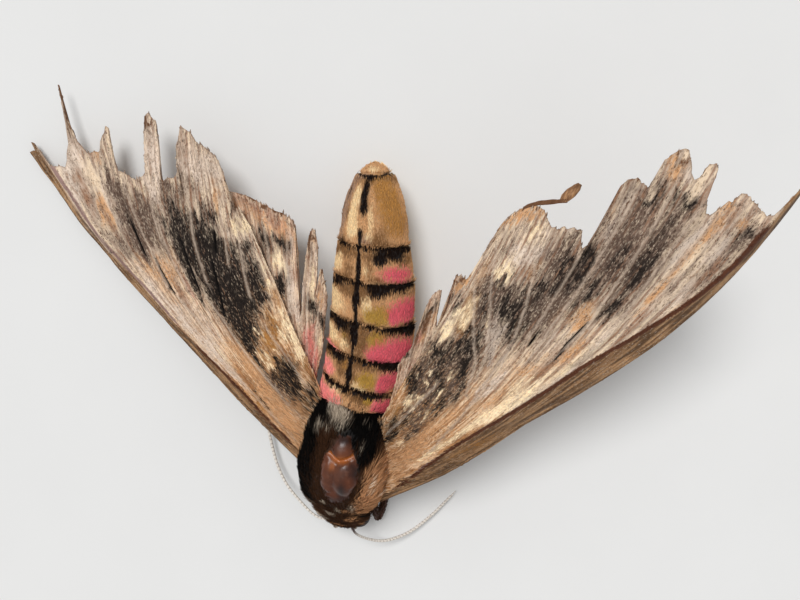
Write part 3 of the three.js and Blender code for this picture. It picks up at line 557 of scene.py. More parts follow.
def fibre(wing, u, t):
    """The fibre s that passes through (u, t)."""
    if not wing["fan"]:
        return u
    low, high = np.zeros(np.shape(u)), np.ones(np.shape(u))
    for _ in range(14):
        middle = (low + high) / 2
        beyond = fanned(wing, middle, t) > u
        low, high = np.where(beyond, low, middle), np.where(beyond, middle, high)
    return (low + high) / 2


def ray_point(wing, u, t):
    """The place of (u, t) in the wing's own flat frame, as x and y."""
    flat = []
    edge = np.interp(t, *zip(*wing["edge"])) * np.clip(1 - u / 0.15, 0, 1)
    for k in (0, 1):
        root = mix(wing["root_front"][k], wing["root_back"][k], u)
        margin = (wing["tip"][k] * (1 - u) ** 2 + 2 * wing["crown"][k] * u * (1 - u)
                  + wing["corner"][k] * u ** 2)
        middle = (root + margin) / 2 + wing["pull"][k] * np.sin(math.pi * u) + wing["bow"][k] * (1 - u) ** 3
        flat.append(root * (1 - t) ** 2 + 2 * middle * t * (1 - t) + margin * t ** 2 - k * edge)
    return flat


def span(wing, u, t):
    """Millimetres across the rays for each unit of u."""
    x0, y0 = ray_point(wing, u - 0.005, t)
    x1, y1 = ray_point(wing, u + 0.005, t)
    return np.hypot(x1 - x0, y1 - y0) / 0.01


def reach(wing, s):
    """How far along its fibre the torn membrane goes, a little ragged except on a whole margin."""
    start, stop = wing["smooth_margin"]
    whole = step(start - 0.01, start + 0.01, s) * (1 - step(stop - 0.01, stop + 0.01, s))
    teeth = 0.0045 * cloud(column(s), 0.02, 3) + 0.0018 * cloud(column(s), 0.007, 4)
    return np.interp(s, *zip(*wing["reach"])) + teeth * (1 - 0.8 * whole)


def off_line(wing, line, u, t):
    """Millimetres from a row of (u, t) at the same t, and 1 where the row has such a t."""
    us, ts = np.array(sorted(line, key=lambda place: place[1])).T
    beside = (u - np.interp(t, ts, us)) * span(wing, u, t)
    return beside, step(ts[0] - 0.02, ts[0] + 0.01, t) * (1 - step(ts[-1] - 0.01, ts[-1] + 0.02, t))


# How far a membrane rises over a vein, sags between two and is cut by a crack, millimetres.
VEIN_RISE, SAG, CRACK_DEPTH = 0.1, 0.24, 0.32


def wing_relief(wing, u, t):
    """The membrane's height over the wing's even surface: raised veins with pleats between them."""
    nearest = np.full(np.shape(u), 9.0)
    ridges = np.zeros(np.shape(u))
    for _, line in wing["veins"]:
        beside, there = off_line(wing, line, u, t)
        nearest = np.minimum(nearest, np.abs(beside) + 9 * (1 - there))
        ridges = np.maximum(ridges, VEIN_RISE * hump(beside, 0, 0.26) * there)
    cracks = np.zeros(np.shape(u))
    for line in wing["creases"]:
        beside, there = off_line(wing, line, u, t)
        cracks = np.maximum(cracks, hump(beside, 0, 0.16) * there)
    s = fibre(wing, u, t)
    flat = np.stack([t * 50, s * 25], -1)
    crumple = (0.12 * cloud(flat, 3.1, 21) + 0.06 * cloud(flat, 1.1, 22)
               + 0.1 * cloud(flat * [0.25, 1], 1.3, 24))
    torn = step(0.13, 0.0, reach(wing, s) - t)
    curl = torn * (0.3 + 0.45 * cloud(column(s), 0.05, 23))
    sag = -SAG * step(0.1, 1.1, nearest) * step(0.12, 0.5, t)
    return ridges + sag + crumple * step(0.0, 0.4, t) + curl - CRACK_DEPTH * cracks


def wing_height(wing, u, t):
    arch = wing["camber"] * 4 * t * (1 - t) * np.sin(math.pi * u)
    fold_at = np.interp(t, *zip(*wing["strip"]))
    fold = wing["fold_drop"] * np.clip(1 - u / fold_at, 0, 1) * np.clip(3 * t, 0, 1)
    droop = wing["droop"] * np.clip(1 - t, 0, 1) ** 5
    return arch - fold - droop - wing["drop"] + wing_relief(wing, u, t)


def wing_up(wing):
    up = unit(np.cross(wing["along"], wing["across"]))
    return up if up[2] > 0 else -up


def wing_point(wing, u, t, lift=0.0):
    """A point `lift` millimetres over the wing's membrane."""
    x, y = ray_point(wing, u, t)
    height = wing_height(wing, u, t) + lift
    return (np.array(wing["shoulder"]) + column(x) * wing["along"] + column(y) * wing["across"]
            + column(height) * wing_up(wing))


# ---- Markings of the wings: a middle (u, t), half sizes and a strength ----

FOREWING_MARKS = {
    "right": {
        "tan": [
            (0.2, 0.03, 0.25, 0.035), (0.34, 0.11, 0.17, 0.07), (0.44, 0.19, 0.08, 0.07),
            (0.22, 0.1, 0.1, 0.04, 0.6), (0.48, 0.27, 0.05, 0.05, 0.8), (0.17, 0.55, 0.08, 0.05, 0.7),
            (0.3, 0.55, 0.07, 0.05, 0.7), (0.42, 0.32, 0.05, 0.06, 0.6), (0.14, 0.72, 0.022, 0.05, 0.9),
            (0.27, 0.86, 0.04, 0.02, 0.7), (0.2, 0.47, 0.09, 0.03, 0.5), (0.22, 0.26, 0.05, 0.012, 0.6),
            (0.86, 0.11, 0.05, 0.025, 0.9), (0.82, 0.8, 0.03, 0.06, 0.6), (0.97, 0.93, 0.03, 0.07, 0.5),
            (0.4, 0.6, 0.03, 0.06, 0.5), (0.86, 0.87, 0.02, 0.08, 0.5), (0.1, 0.68, 0.02, 0.04, 0.5),
            (0.6, 0.04, 0.12, 0.03, 0.7), (0.35, 0.64, 0.03, 0.03, 0.4),
        ],
        "rose": [(0.37, 0.52, 0.02, 0.08, 0.4), (0.72, 0.93, 0.05, 0.04, 0.25)],
        "gold": [
            (0.2, 0.155, 0.06, 0.022), (0.85, 0.33, 0.09, 0.07, 0.95), (0.75, 0.28, 0.08, 0.05, 0.95),
            (0.64, 0.25, 0.07, 0.04, 0.8), (0.95, 0.12, 0.05, 0.03, 0.8), (0.92, 0.49, 0.06, 0.02, 0.7),
            (0.6, 0.33, 0.04, 0.02, 0.4), (0.97, 0.43, 0.04, 0.05, 0.6),
        ],
        "cream": [
            (0.62, 0.235, 0.04, 0.02), (0.655, 0.26, 0.025, 0.02, 0.9), (0.597, 0.27, 0.015, 0.01, 0.9),
            (0.95, 0.165, 0.07, 0.03), (0.97, 0.24, 0.05, 0.05), (0.97, 0.305, 0.06, 0.03, 0.95),
            (0.885, 0.28, 0.03, 0.02, 0.9), (0.7, 0.335, 0.025, 0.012, 0.9),
            (0.97, 0.375, 0.035, 0.02, 0.9), (0.955, 0.48, 0.03, 0.03, 0.8), (0.89, 0.365, 0.03, 0.01, 0.6),
            (0.76, 0.245, 0.03, 0.012, 0.7), (0.84, 0.26, 0.02, 0.01, 0.6), (0.9, 0.725, 0.035, 0.03),
            (0.97, 0.76, 0.05, 0.025), (0.81, 0.31, 0.015, 0.01, 0.6), (0.73, 0.3, 0.012, 0.008, 0.7),
            (0.27, 0.3, 0.02, 0.05, 0.6), (0.965, 0.56, 0.02, 0.04, 0.6), (0.41, 0.8, 0.04, 0.012, 0.5),
        ],
        "pale": [
            (0.2, 0.25, 0.06, 0.05, 0.8), (0.2, 0.33, 0.09, 0.06, 0.85), (0.14, 0.42, 0.06, 0.07, 0.8),
            (0.33, 0.38, 0.08, 0.05, 0.65), (0.27, 0.45, 0.1, 0.04, 0.5), (0.1, 0.5, 0.03, 0.06, 0.8),
            (0.06, 0.76, 0.025, 0.1, 0.9), (0.1, 0.86, 0.04, 0.06, 0.9), (0.16, 0.87, 0.04, 0.05, 0.8),
            (0.17, 0.69, 0.025, 0.02, 0.85), (0.185, 0.77, 0.018, 0.06, 0.7), (0.14, 0.92, 0.03, 0.04, 0.8),
            (0.54, 0.89, 0.05, 0.08, 0.9), (0.455, 0.78, 0.02, 0.06, 0.95), (0.4, 0.7, 0.012, 0.04, 0.7),
            (0.75, 0.9, 0.08, 0.08, 0.75), (0.9, 0.94, 0.09, 0.07, 0.7), (0.45, 0.4, 0.03, 0.06, 0.4),
            (0.42, 0.46, 0.015, 0.04, 0.6), (0.83, 0.68, 0.02, 0.03, 0.8), (0.66, 0.83, 0.02, 0.06, 0.6),
            (0.31, 0.61, 0.02, 0.05, 0.4), (0.24, 0.79, 0.012, 0.05, 0.7), (0.55, 0.68, 0.012, 0.05, 0.3),
            (0.77, 0.66, 0.02, 0.03, 0.55), (0.12, 0.27, 0.02, 0.05, 0.5),
        ],
        "umber": [
            (0.3, 0.68, 0.14, 0.11, 0.55), (0.12, 0.63, 0.06, 0.06, 0.55), (0.22, 0.64, 0.055, 0.06, 0.9),
            (0.25, 0.73, 0.06, 0.06, 0.9), (0.33, 0.72, 0.05, 0.06, 0.75), (0.11, 0.74, 0.02, 0.06, 0.5),
            (0.3, 0.66, 0.04, 0.03, 0.75), (0.27, 0.79, 0.04, 0.035, 0.85), (0.4, 0.72, 0.045, 0.06, 0.7),
            (0.52, 0.77, 0.04, 0.07, 0.7), (0.6, 0.8, 0.07, 0.05, 0.7), (0.36, 0.62, 0.03, 0.05, 0.5),
            (0.33, 0.24, 0.05, 0.05, 0.45), (0.55, 0.18, 0.06, 0.09, 0.8), (0.7, 0.83, 0.05, 0.05, 0.55),
            (0.5, 0.38, 0.05, 0.05, 0.6), (0.8, 0.86, 0.03, 0.05, 0.35), (0.7, 0.12, 0.2, 0.09, 0.9),
            (0.93, 0.25, 0.035, 0.02, 0.6), (0.07, 0.66, 0.012, 0.03, 0.5), (0.5, 0.45, 0.06, 0.04, 0.8),
            (0.38, 0.54, 0.02, 0.05, 0.45), (0.8, 0.35, 0.1, 0.05, 0.5), (0.3, 0.5, 0.02, 0.02, 0.3),
            (0.85, 0.72, 0.03, 0.05, 0.5), (0.38, 0.43, 0.02, 0.04, 0.5), (0.88, 0.3, 0.04, 0.012, 0.7),
            (0.7, 0.27, 0.02, 0.03, 0.7),
        ],
        "smudge": [
            (0.62, 0.5, 0.14, 0.11, 0.7), (0.6, 0.65, 0.15, 0.09, 0.6), (0.84, 0.52, 0.1, 0.09, 0.6),
            (0.72, 0.13, 0.16, 0.08, 0.6), (0.63, 0.38, 0.12, 0.08, 0.55), (0.36, 0.68, 0.1, 0.09, 0.25),
            (0.5, 0.72, 0.08, 0.05, 0.4), (0.6, 0.37, 0.07, 0.05, 0.6), (0.265, 0.155, 0.025, 0.022, 0.85),
            (0.29, 0.185, 0.02, 0.016, 0.6), (0.57, 0.325, 0.055, 0.045), (0.66, 0.375, 0.075, 0.04),
            (0.56, 0.42, 0.05, 0.03, 0.5), (0.68, 0.46, 0.1, 0.05), (0.56, 0.53, 0.08, 0.05, 0.95),
            (0.7, 0.56, 0.11, 0.06), (0.52, 0.61, 0.07, 0.045, 0.9), (0.64, 0.65, 0.1, 0.045),
            (0.77, 0.63, 0.06, 0.035, 0.85), (0.5, 0.68, 0.05, 0.04, 0.75), (0.66, 0.725, 0.05, 0.03, 0.8),
            (0.76, 0.76, 0.055, 0.04, 0.8), (0.57, 0.73, 0.06, 0.04, 0.6), (0.86, 0.44, 0.075, 0.045),
            (0.87, 0.54, 0.06, 0.05, 0.95), (0.9, 0.645, 0.045, 0.035, 0.9), (0.79, 0.51, 0.07, 0.05, 0.95),
            (0.44, 0.55, 0.03, 0.04, 0.7), (0.42, 0.5, 0.015, 0.03, 0.6), (0.72, 0.09, 0.075, 0.045),
            (0.79, 0.15, 0.07, 0.035), (0.58, 0.17, 0.05, 0.028, 0.75), (0.64, 0.12, 0.05, 0.035, 0.7),
            (0.7, 0.2, 0.09, 0.018, 0.9), (0.55, 0.26, 0.02, 0.05, 0.7), (0.8, 0.0, 0.3, 0.025, 0.9),
            (0.7, 0.32, 0.04, 0.012, 0.5), (0.24, 0.69, 0.03, 0.02, 0.7), (0.2, 0.8, 0.015, 0.015, 0.5),
            (0.95, 0.68, 0.02, 0.02, 0.7), (0.27, 0.73, 0.02, 0.02, 0.4), (0.55, 0.95, 0.045, 0.006, 0.75),
            (0.45, 0.62, 0.03, 0.03, 0.6), (0.91, 0.8, 0.02, 0.03, 0.8),
        ],
        "brown": [
            (0.57, 0.95, 0.034, 0.009), (0.57, 0.985, 0.014, 0.01, 0.6), (0.69, 0.93, 0.012, 0.012, 0.8),
            (0.215, 0.98, 0.012, 0.05, 0.8), (0.35, 0.915, 0.02, 0.01, 0.7), (0.99, 0.86, 0.012, 0.08, 0.6),
        ],
    },
    "left": {
        "tan": [
            (0.42, 0.06, 0.11, 0.05), (0.48, 0.13, 0.08, 0.06), (0.54, 0.2, 0.045, 0.08, 0.9),
            (0.5, 0.28, 0.04, 0.06, 0.7), (0.66, 0.12, 0.06, 0.045, 0.75), (0.36, 0.37, 0.04, 0.07, 0.6),
            (0.34, 0.48, 0.05, 0.05, 0.6), (0.3, 0.02, 0.2, 0.02, 0.7), (0.147, 0.72, 0.014, 0.07, 0.95),
            (0.145, 0.85, 0.02, 0.05, 0.85), (0.13, 0.915, 0.015, 0.02, 0.9), (0.07, 0.91, 0.02, 0.02, 0.9),
            (0.06, 0.67, 0.015, 0.04, 0.5), (0.24, 0.53, 0.03, 0.05, 0.85), (0.305, 0.62, 0.03, 0.04, 0.95),
            (0.33, 0.66, 0.03, 0.03, 0.85), (0.41, 0.645, 0.04, 0.03, 0.6), (0.39, 0.74, 0.015, 0.04, 0.4),
            (0.32, 0.975, 0.03, 0.04, 0.85), (0.36, 0.99, 0.02, 0.02), (0.62, 0.745, 0.04, 0.02, 0.6),
            (0.44, 0.87, 0.015, 0.05, 0.6), (0.78, 0.92, 0.07, 0.02, 0.95), (0.88, 0.94, 0.07, 0.03),
            (0.95, 0.97, 0.06, 0.02), (0.53, 0.85, 0.02, 0.015, 0.6), (0.41, 0.5, 0.05, 0.03, 0.4),
            (0.985, 0.74, 0.02, 0.04, 0.9), (0.03, 0.55, 0.012, 0.12, 0.8), (0.2, 0.43, 0.03, 0.03, 0.35),
            (0.085, 0.78, 0.01, 0.04, 0.4), (0.53, 0.4, 0.02, 0.04, 0.4),
        ],
        "rose": [(0.46, 0.47, 0.03, 0.07, 0.25), (0.62, 0.73, 0.03, 0.02, 0.2)],
        "gold": [
            (0.13, 0.2, 0.06, 0.07, 0.7), (0.65, 0.25, 0.045, 0.03, 0.9), (0.69, 0.315, 0.035, 0.04, 0.9),
            (0.7, 0.4, 0.035, 0.025, 0.9), (0.88, 0.13, 0.06, 0.05, 0.8), (0.8, 0.27, 0.06, 0.03, 0.8),
            (0.83, 0.33, 0.06, 0.02, 0.8), (0.79, 0.215, 0.04, 0.02, 0.7), (0.91, 0.36, 0.03, 0.015, 0.7),
            (0.84, 0.58, 0.09, 0.07, 0.8), (0.88, 0.66, 0.05, 0.05, 0.7), (0.9, 0.76, 0.05, 0.08, 0.5),
            (0.77, 0.44, 0.05, 0.03, 0.5), (0.58, 0.07, 0.03, 0.02, 0.4),
        ],
        "cream": [
            (0.33, 0.15, 0.03, 0.05, 0.8), (0.315, 0.25, 0.035, 0.07), (0.27, 0.33, 0.04, 0.05),
            (0.31, 0.41, 0.05, 0.05, 0.6), (0.6, 0.07, 0.045, 0.018, 0.9), (0.85, 0.2, 0.045, 0.025),
            (0.8, 0.24, 0.03, 0.016), (0.655, 0.245, 0.025, 0.014, 0.8), (0.685, 0.31, 0.016, 0.02, 0.85),
            (0.83, 0.315, 0.035, 0.008, 0.9), (0.7, 0.405, 0.02, 0.014, 0.85),
            (0.855, 0.355, 0.018, 0.008, 0.9), (0.77, 0.27, 0.025, 0.014, 0.7),
            (0.945, 0.42, 0.02, 0.008, 0.7), (0.93, 0.53, 0.055, 0.03), (0.9, 0.6, 0.045, 0.035, 0.85),
            (0.83, 0.59, 0.04, 0.02, 0.7), (0.87, 0.65, 0.025, 0.03, 0.7), (0.76, 0.75, 0.045, 0.02, 0.95),
            (0.83, 0.77, 0.03, 0.015, 0.8), (0.73, 0.87, 0.06, 0.016, 0.7), (0.71, 0.6, 0.025, 0.014, 0.9),
            (0.72, 0.32, 0.012, 0.006, 0.6), (0.63, 0.22, 0.012, 0.008, 0.5), (0.8, 0.4, 0.012, 0.006, 0.5),
            (0.235, 0.4, 0.03, 0.06, 0.75), (0.195, 0.5, 0.022, 0.07, 0.7), (0.17, 0.6, 0.016, 0.07, 0.5),
            (0.78, 0.2, 0.025, 0.012, 0.8), (0.88, 0.24, 0.022, 0.01, 0.8), (0.92, 0.31, 0.02, 0.009, 0.75),
            (0.76, 0.35, 0.018, 0.008, 0.8), (0.86, 0.41, 0.02, 0.008, 0.6), (0.7, 0.19, 0.016, 0.01, 0.6),
        ],
        "pale": [
            (0.24, 0.38, 0.04, 0.05, 0.9), (0.21, 0.41, 0.03, 0.05, 0.85), (0.175, 0.48, 0.025, 0.06, 0.95),
            (0.44, 0.42, 0.03, 0.06, 0.8), (0.48, 0.4, 0.014, 0.06, 0.75), (0.56, 0.5, 0.03, 0.04, 0.85),
            (0.61, 0.56, 0.03, 0.05, 0.95), (0.66, 0.6, 0.03, 0.04, 0.9), (0.64, 0.49, 0.02, 0.02, 0.6),
            (0.36, 0.55, 0.02, 0.05, 0.5), (0.18, 0.6, 0.02, 0.05, 0.9), (0.08, 0.7, 0.022, 0.05, 0.7),
            (0.17, 0.83, 0.014, 0.06, 0.95), (0.08, 0.83, 0.02, 0.05, 0.75), (0.42, 0.85, 0.03, 0.04, 0.8),
            (0.65, 0.8, 0.06, 0.03, 0.75), (0.76, 0.81, 0.08, 0.03, 0.75), (0.38, 0.8, 0.014, 0.04, 0.6),
            (0.27, 0.99, 0.02, 0.02, 0.8), (0.41, 0.91, 0.02, 0.03, 0.6), (0.57, 0.84, 0.04, 0.015, 0.7),
            (0.9, 0.375, 0.03, 0.012, 0.5), (0.66, 0.86, 0.03, 0.012, 0.6), (0.32, 0.54, 0.02, 0.03, 0.5),
            (0.22, 0.22, 0.012, 0.04, 0.3), (0.05, 0.32, 0.02, 0.07, 0.45), (0.5, 0.52, 0.015, 0.05, 0.6),
        ],
        "umber": [
            (0.27, 0.8, 0.11, 0.14, 0.65), (0.5, 0.68, 0.13, 0.13, 0.7), (0.76, 0.66, 0.17, 0.11, 0.65),
            (0.45, 0.85, 0.12, 0.1, 0.5), (0.62, 0.5, 0.1, 0.08, 0.5), (0.74, 0.45, 0.12, 0.1, 0.6),
            (0.06, 0.8, 0.05, 0.14, 0.4), (0.75, 0.3, 0.14, 0.2, 0.9), (0.9, 0.3, 0.1, 0.2, 0.85),
            (0.66, 0.4, 0.06, 0.12, 0.8), (0.62, 0.16, 0.04, 0.05, 0.7), (0.42, 0.28, 0.02, 0.06, 0.5),
            (0.46, 0.62, 0.035, 0.05, 0.55), (0.25, 0.8, 0.05, 0.12, 0.7), (0.35, 0.77, 0.05, 0.1, 0.65),
            (0.36, 0.88, 0.05, 0.06, 0.6), (0.55, 0.66, 0.06, 0.06, 0.6), (0.7, 0.68, 0.08, 0.035, 0.65),
            (0.81, 0.71, 0.07, 0.035, 0.7), (0.05, 0.87, 0.02, 0.05, 0.7), (0.11, 0.76, 0.01, 0.08, 0.5),
            (0.85, 0.84, 0.05, 0.04, 0.5), (0.44, 0.7, 0.04, 0.06, 0.6), (0.52, 0.78, 0.06, 0.04, 0.7),
            (0.6, 0.79, 0.04, 0.03, 0.4), (0.78, 0.62, 0.05, 0.04, 0.6), (0.95, 0.63, 0.04, 0.06, 0.6),
            (0.2, 0.71, 0.012, 0.06, 0.6), (0.42, 0.93, 0.04, 0.02, 0.3), (0.05, 0.76, 0.012, 0.05, 0.4),
            (0.7, 0.76, 0.03, 0.02, 0.3), (0.56, 0.36, 0.03, 0.05, 0.5), (0.14, 0.94, 0.01, 0.02, 0.5),
        ],
        "smudge": [
            (0.6, 0.5, 0.1, 0.07, 0.28), (0.56, 0.66, 0.13, 0.09, 0.34), (0.29, 0.77, 0.08, 0.1, 0.3),
            (0.76, 0.6, 0.12, 0.09, 0.3), (0.84, 0.38, 0.12, 0.12, 0.4), (0.62, 0.3, 0.03, 0.05, 0.85),
            (0.59, 0.38, 0.04, 0.04, 0.6), (0.665, 0.44, 0.045, 0.035, 0.95),
            (0.7, 0.52, 0.045, 0.03, 0.95), (0.77, 0.55, 0.045, 0.025, 0.8), (0.8, 0.49, 0.07, 0.03, 0.9),
            (0.88, 0.44, 0.08, 0.035), (0.79, 0.06, 0.09, 0.07), (0.77, 0.15, 0.04, 0.05, 0.85),
            (0.62, 0.15, 0.025, 0.025, 0.7), (0.73, 0.34, 0.035, 0.04, 0.85),
            (0.78, 0.38, 0.04, 0.025, 0.85), (0.9, 0.27, 0.06, 0.025, 0.8), (0.97, 0.3, 0.05, 0.07, 0.7),
            (0.96, 0.02, 0.1, 0.03, 0.8), (0.72, 0.24, 0.03, 0.03, 0.7), (0.93, 0.35, 0.03, 0.02, 0.6),
            (0.56, 0.6, 0.05, 0.03, 0.85), (0.66, 0.65, 0.06, 0.022, 0.8), (0.58, 0.64, 0.04, 0.025, 0.7),
            (0.48, 0.72, 0.045, 0.025, 0.8), (0.48, 0.775, 0.06, 0.03, 0.95),
            (0.43, 0.755, 0.04, 0.03, 0.85), (0.55, 0.7, 0.04, 0.025, 0.5), (0.73, 0.715, 0.05, 0.016, 0.6),
            (0.81, 0.735, 0.05, 0.018, 0.6), (0.53, 0.555, 0.02, 0.03, 0.75), (0.6, 0.7, 0.04, 0.016, 0.6),
            (0.24, 0.66, 0.035, 0.045, 0.8), (0.24, 0.77, 0.03, 0.05, 0.75), (0.35, 0.7, 0.04, 0.035, 0.7),
            (0.33, 0.79, 0.03, 0.03, 0.5), (0.23, 0.925, 0.03, 0.025, 0.8), (0.28, 0.94, 0.02, 0.02, 0.7),
            (0.34, 0.915, 0.04, 0.022, 0.8), (0.05, 0.885, 0.018, 0.02, 0.8),
            (0.83, 0.85, 0.03, 0.014, 0.5), (0.8, 0.665, 0.04, 0.018, 0.7), (0.96, 0.64, 0.02, 0.05, 0.7),
            (0.75, 0.62, 0.02, 0.02, 0.5), (0.45, 0.57, 0.02, 0.02, 0.5), (0.28, 0.56, 0.012, 0.03, 0.5),
            (0.88, 0.69, 0.04, 0.012, 0.5), (0.26, 0.86, 0.03, 0.03, 0.4),
        ],
        "brown": [
            (0.9, 0.975, 0.1, 0.006, 0.8), (0.42, 0.95, 0.04, 0.008, 0.6), (0.33, 1.01, 0.05, 0.008, 0.6),
            (0.17, 0.03, 0.04, 0.02, 0.6), (0.09, 0.5, 0.04, 0.12, 0.35), (0.76, 0.95, 0.1, 0.006, 0.9),
        ],
    },
}
HINDWING_MARKS = {
    "right": {
        "tan": [
            (0.5, 0.93, 0.3, 0.05, 0.6), (0.64, 0.94, 0.05, 0.05, 0.7), (0.4, 0.3, 0.2, 0.1, 0.9),
            (0.81, 1.03, 0.02, 0.03, 0.7), (0.9, 0.75, 0.03, 0.12, 0.8), (0.53, 0.58, 0.06, 0.05, 0.8),
        ],
        "gold": [(0.45, 0.4, 0.15, 0.08), (0.5, 0.5, 0.1, 0.06, 0.8)],
        "rose": [
            (0.8, 0.43, 0.1, 0.1), (0.9, 0.32, 0.08, 0.1), (0.9, 0.16, 0.1, 0.1),
            (0.86, 0.55, 0.04, 0.05, 0.5), (0.5, 0.95, 0.3, 0.04, 0.35),
        ],
        "cream": [
            (0.64, 0.36, 0.05, 0.08), (0.46, 0.46, 0.08, 0.03, 0.8), (0.55, 0.77, 0.06, 0.04),
            (0.44, 0.66, 0.05, 0.02, 0.7), (0.52, 0.56, 0.03, 0.02, 0.8), (0.83, 0.8, 0.02, 0.1),
            (0.95, 0.48, 0.03, 0.08, 0.8), (0.75, 0.4, 0.05, 0.05, 0.5),
        ],
        "pale": [
            (0.62, 0.68, 0.035, 0.12, 0.9), (0.69, 0.58, 0.05, 0.07, 0.95), (0.765, 0.72, 0.014, 0.12),
            (0.655, 0.9, 0.02, 0.08, 0.8), (0.55, 0.43, 0.05, 0.02, 0.7), (0.42, 0.64, 0.04, 0.02, 0.5),
            (0.84, 0.95, 0.012, 0.08, 0.7),
        ],
        "umber": [
            (0.42, 0.955, 0.12, 0.03, 0.5), (0.56, 0.96, 0.06, 0.03, 0.4), (0.35, 0.6, 0.1, 0.12, 0.9),
            (0.5, 0.63, 0.05, 0.06, 0.6), (0.81, 0.95, 0.014, 0.08, 0.8), (0.37, 0.36, 0.08, 0.05, 0.6),
        ],
        "smudge": [
            (0.47, 0.85, 0.045, 0.045), (0.58, 0.855, 0.06, 0.045), (0.63, 0.9, 0.03, 0.04, 0.9),
            (0.54, 0.67, 0.05, 0.055), (0.6, 0.72, 0.04, 0.04, 0.6), (0.5, 0.78, 0.05, 0.03, 0.6),
            (0.82, 0.66, 0.06, 0.075), (0.95, 0.62, 0.04, 0.07), (0.42, 0.75, 0.05, 0.05, 0.8),
            (0.25, 0.75, 0.1, 0.07, 0.9), (0.36, 0.54, 0.1, 0.03, 0.8), (0.2, 0.5, 0.15, 0.06, 0.9),
            (0.88, 0.65, 0.04, 0.04, 0.8), (0.87, 0.22, 0.05, 0.04, 0.8),
        ],
        "brown": [
            (0.5, 0.995, 0.3, 0.01, 0.9), (0.81, 1.06, 0.03, 0.02), (0.9, 0.93, 0.02, 0.03, 0.7),
            (0.79, 0.98, 0.008, 0.1, 0.8),
        ],
    },
    "left": {
        "tan": [(0.65, 0.98, 0.05, 0.04), (0.84, 0.8, 0.04, 0.06, 0.7), (0.8, 0.9, 0.06, 0.06, 0.7)],
        "rose": [(0.6, 0.55, 0.3, 0.12, 0.7), (0.87, 0.8, 0.03, 0.06, 0.5)],
        "cream": [(0.79, 0.84, 0.02, 0.06, 0.4)],
        "pale": [(0.72, 0.75, 0.02, 0.1, 0.4)],
        "smudge": [
            (0.83, 0.95, 0.05, 0.05), (0.7, 0.93, 0.04, 0.04, 0.6), (0.93, 0.75, 0.03, 0.05, 0.9),
            (0.3, 0.7, 0.2, 0.06, 0.9), (0.5, 0.45, 0.3, 0.05, 0.8),
        ],
        "brown": [(0.85, 0.88, 0.05, 0.08, 0.6), (0.66, 1.02, 0.05, 0.02, 0.7)],
    },
}
WING_COLOURS = ("tan", "rose", "gold", "cream", "pale", "umber", "smudge", "brown", "ridge", "plum", "bark",
                "far", "vein", "crease", "under")


def within(t, start, stop):
    return step(start - 0.02, start + 0.02, t) * (1 - step(stop - 0.03, stop + 0.03, t))


def wing_marks(wing, u, t, vein=0.0, under=0.0):
    """The strength of each colour of a wing at places on it, with painted shade beside the veins and in the
    cracks.
    """
    nothing = np.zeros(np.shape(u))
    s = fibre(wing, u, t)
    flat = np.stack([17 * t, 35 * s], -1)
    frayed_t = t + 0.03 * cloud(flat, 0.6, 31) + 0.015 * cloud(flat, 1.4, 32)
    frayed_u = u + 0.012 * cloud(flat, 1.0, 33)
    marks = {name: marked(wing["marks"].get(name, []), frayed_u, frayed_t, wing["lean"])
             for name in WING_COLOURS}
    strip = np.interp(t, *zip(*wing["strip"]))
    rim = reach(wing, s) - t
    marks["bark"] = 1 - step(0.85, 1.1, u / strip)
    marks["ridge"] = hump(u, strip, mix(0.018, 0.009, step(0.3, 0.7, t))) * within(t, *wing["ridge"])
    marks["plum"] = hump(u, strip + 0.012, mix(0.016, 0.008, step(0.2, 0.4, t))) * within(t, *wing["plum"])
    marks["brown"] = np.maximum(marks["brown"], 0.35 * (1 - step(0.002, 0.012, rim)))
    veins, cracks = nothing, nothing
    for _, line in wing["veins"]:
        beside, there = off_line(wing, line, u, t)
        veins = np.maximum(veins, hump(beside, 0, 0.13) * there)
        # Painted shade: a thin brown line either side of each raised vein.
        marks["brown"] = np.maximum(marks["brown"], 0.3 * hump(np.abs(beside), 0.26, 0.12) * there)
    # Painted shade: near black along each crack and crease.
    for line in wing["creases"]:
        beside, there = off_line(wing, line, u, t)
        cracks = np.maximum(cracks, hump(beside, 0, 0.2) * there)
    marks["vein"] = np.clip(veins + vein, 0, 1)
    marks["crease"] = cracks
    marks["far"] = step(0.2, 0.62, t)
    marks["under"] = nothing + under
    return marks


WINGS = {}
for side, shape in (("right", RIGHT_FOREWING), ("left", LEFT_FOREWING)):
    WINGS[f"forewing_{side}"] = dict(shape, veins=FOREWING_VEINS[side], creases=FOREWING_CREASES[side],
                                     marks=FOREWING_MARKS[side])
for side, shape in (("right", RIGHT_HINDWING), ("left", LEFT_HINDWING)):
    WINGS[f"hindwing_{side}"] = dict(shape, veins=HINDWING_VEINS, creases=[], marks=HINDWING_MARKS[side])


# ---- Building materials ----


def shade(red, green, blue):
    """A screen colour, from 0 to 255, in the linear light that materials use."""
    values = (channel / 255 for channel in (red, green, blue))
    return (*(v / 12.92 if v < 0.04045 else ((v + 0.055) / 1.055) ** 2.4 for v in values), 1.0)


class Channel:
    """An output of a material's node, so that shader maths can be written as sums."""

    def __init__(self, paint, socket):
        self.paint, self.socket = paint, socket

    def maths(self, operation, first, second):
        return self.paint.add("ShaderNodeMath", {"operation": operation}, {0: first, 1: second})

    def __add__(self, other):
        return self.maths("ADD", self, other)

    def __sub__(self, other):
        return self.maths("SUBTRACT", self, other)

    def __rsub__(self, other):
        return self.maths("SUBTRACT", other, self)

    def __mul__(self, other):
        return self.maths("MULTIPLY", self, other)

    __radd__, __rmul__ = __add__, __mul__

    def between(self, low, high):
        """0 at low and 1 at high, with a smooth rise between them."""
        inputs = {"Value": self, "From Min": low, "From Max": high}
        return self.paint.add("ShaderNodeMapRange", {"interpolation_type": "SMOOTHSTEP"}, inputs)


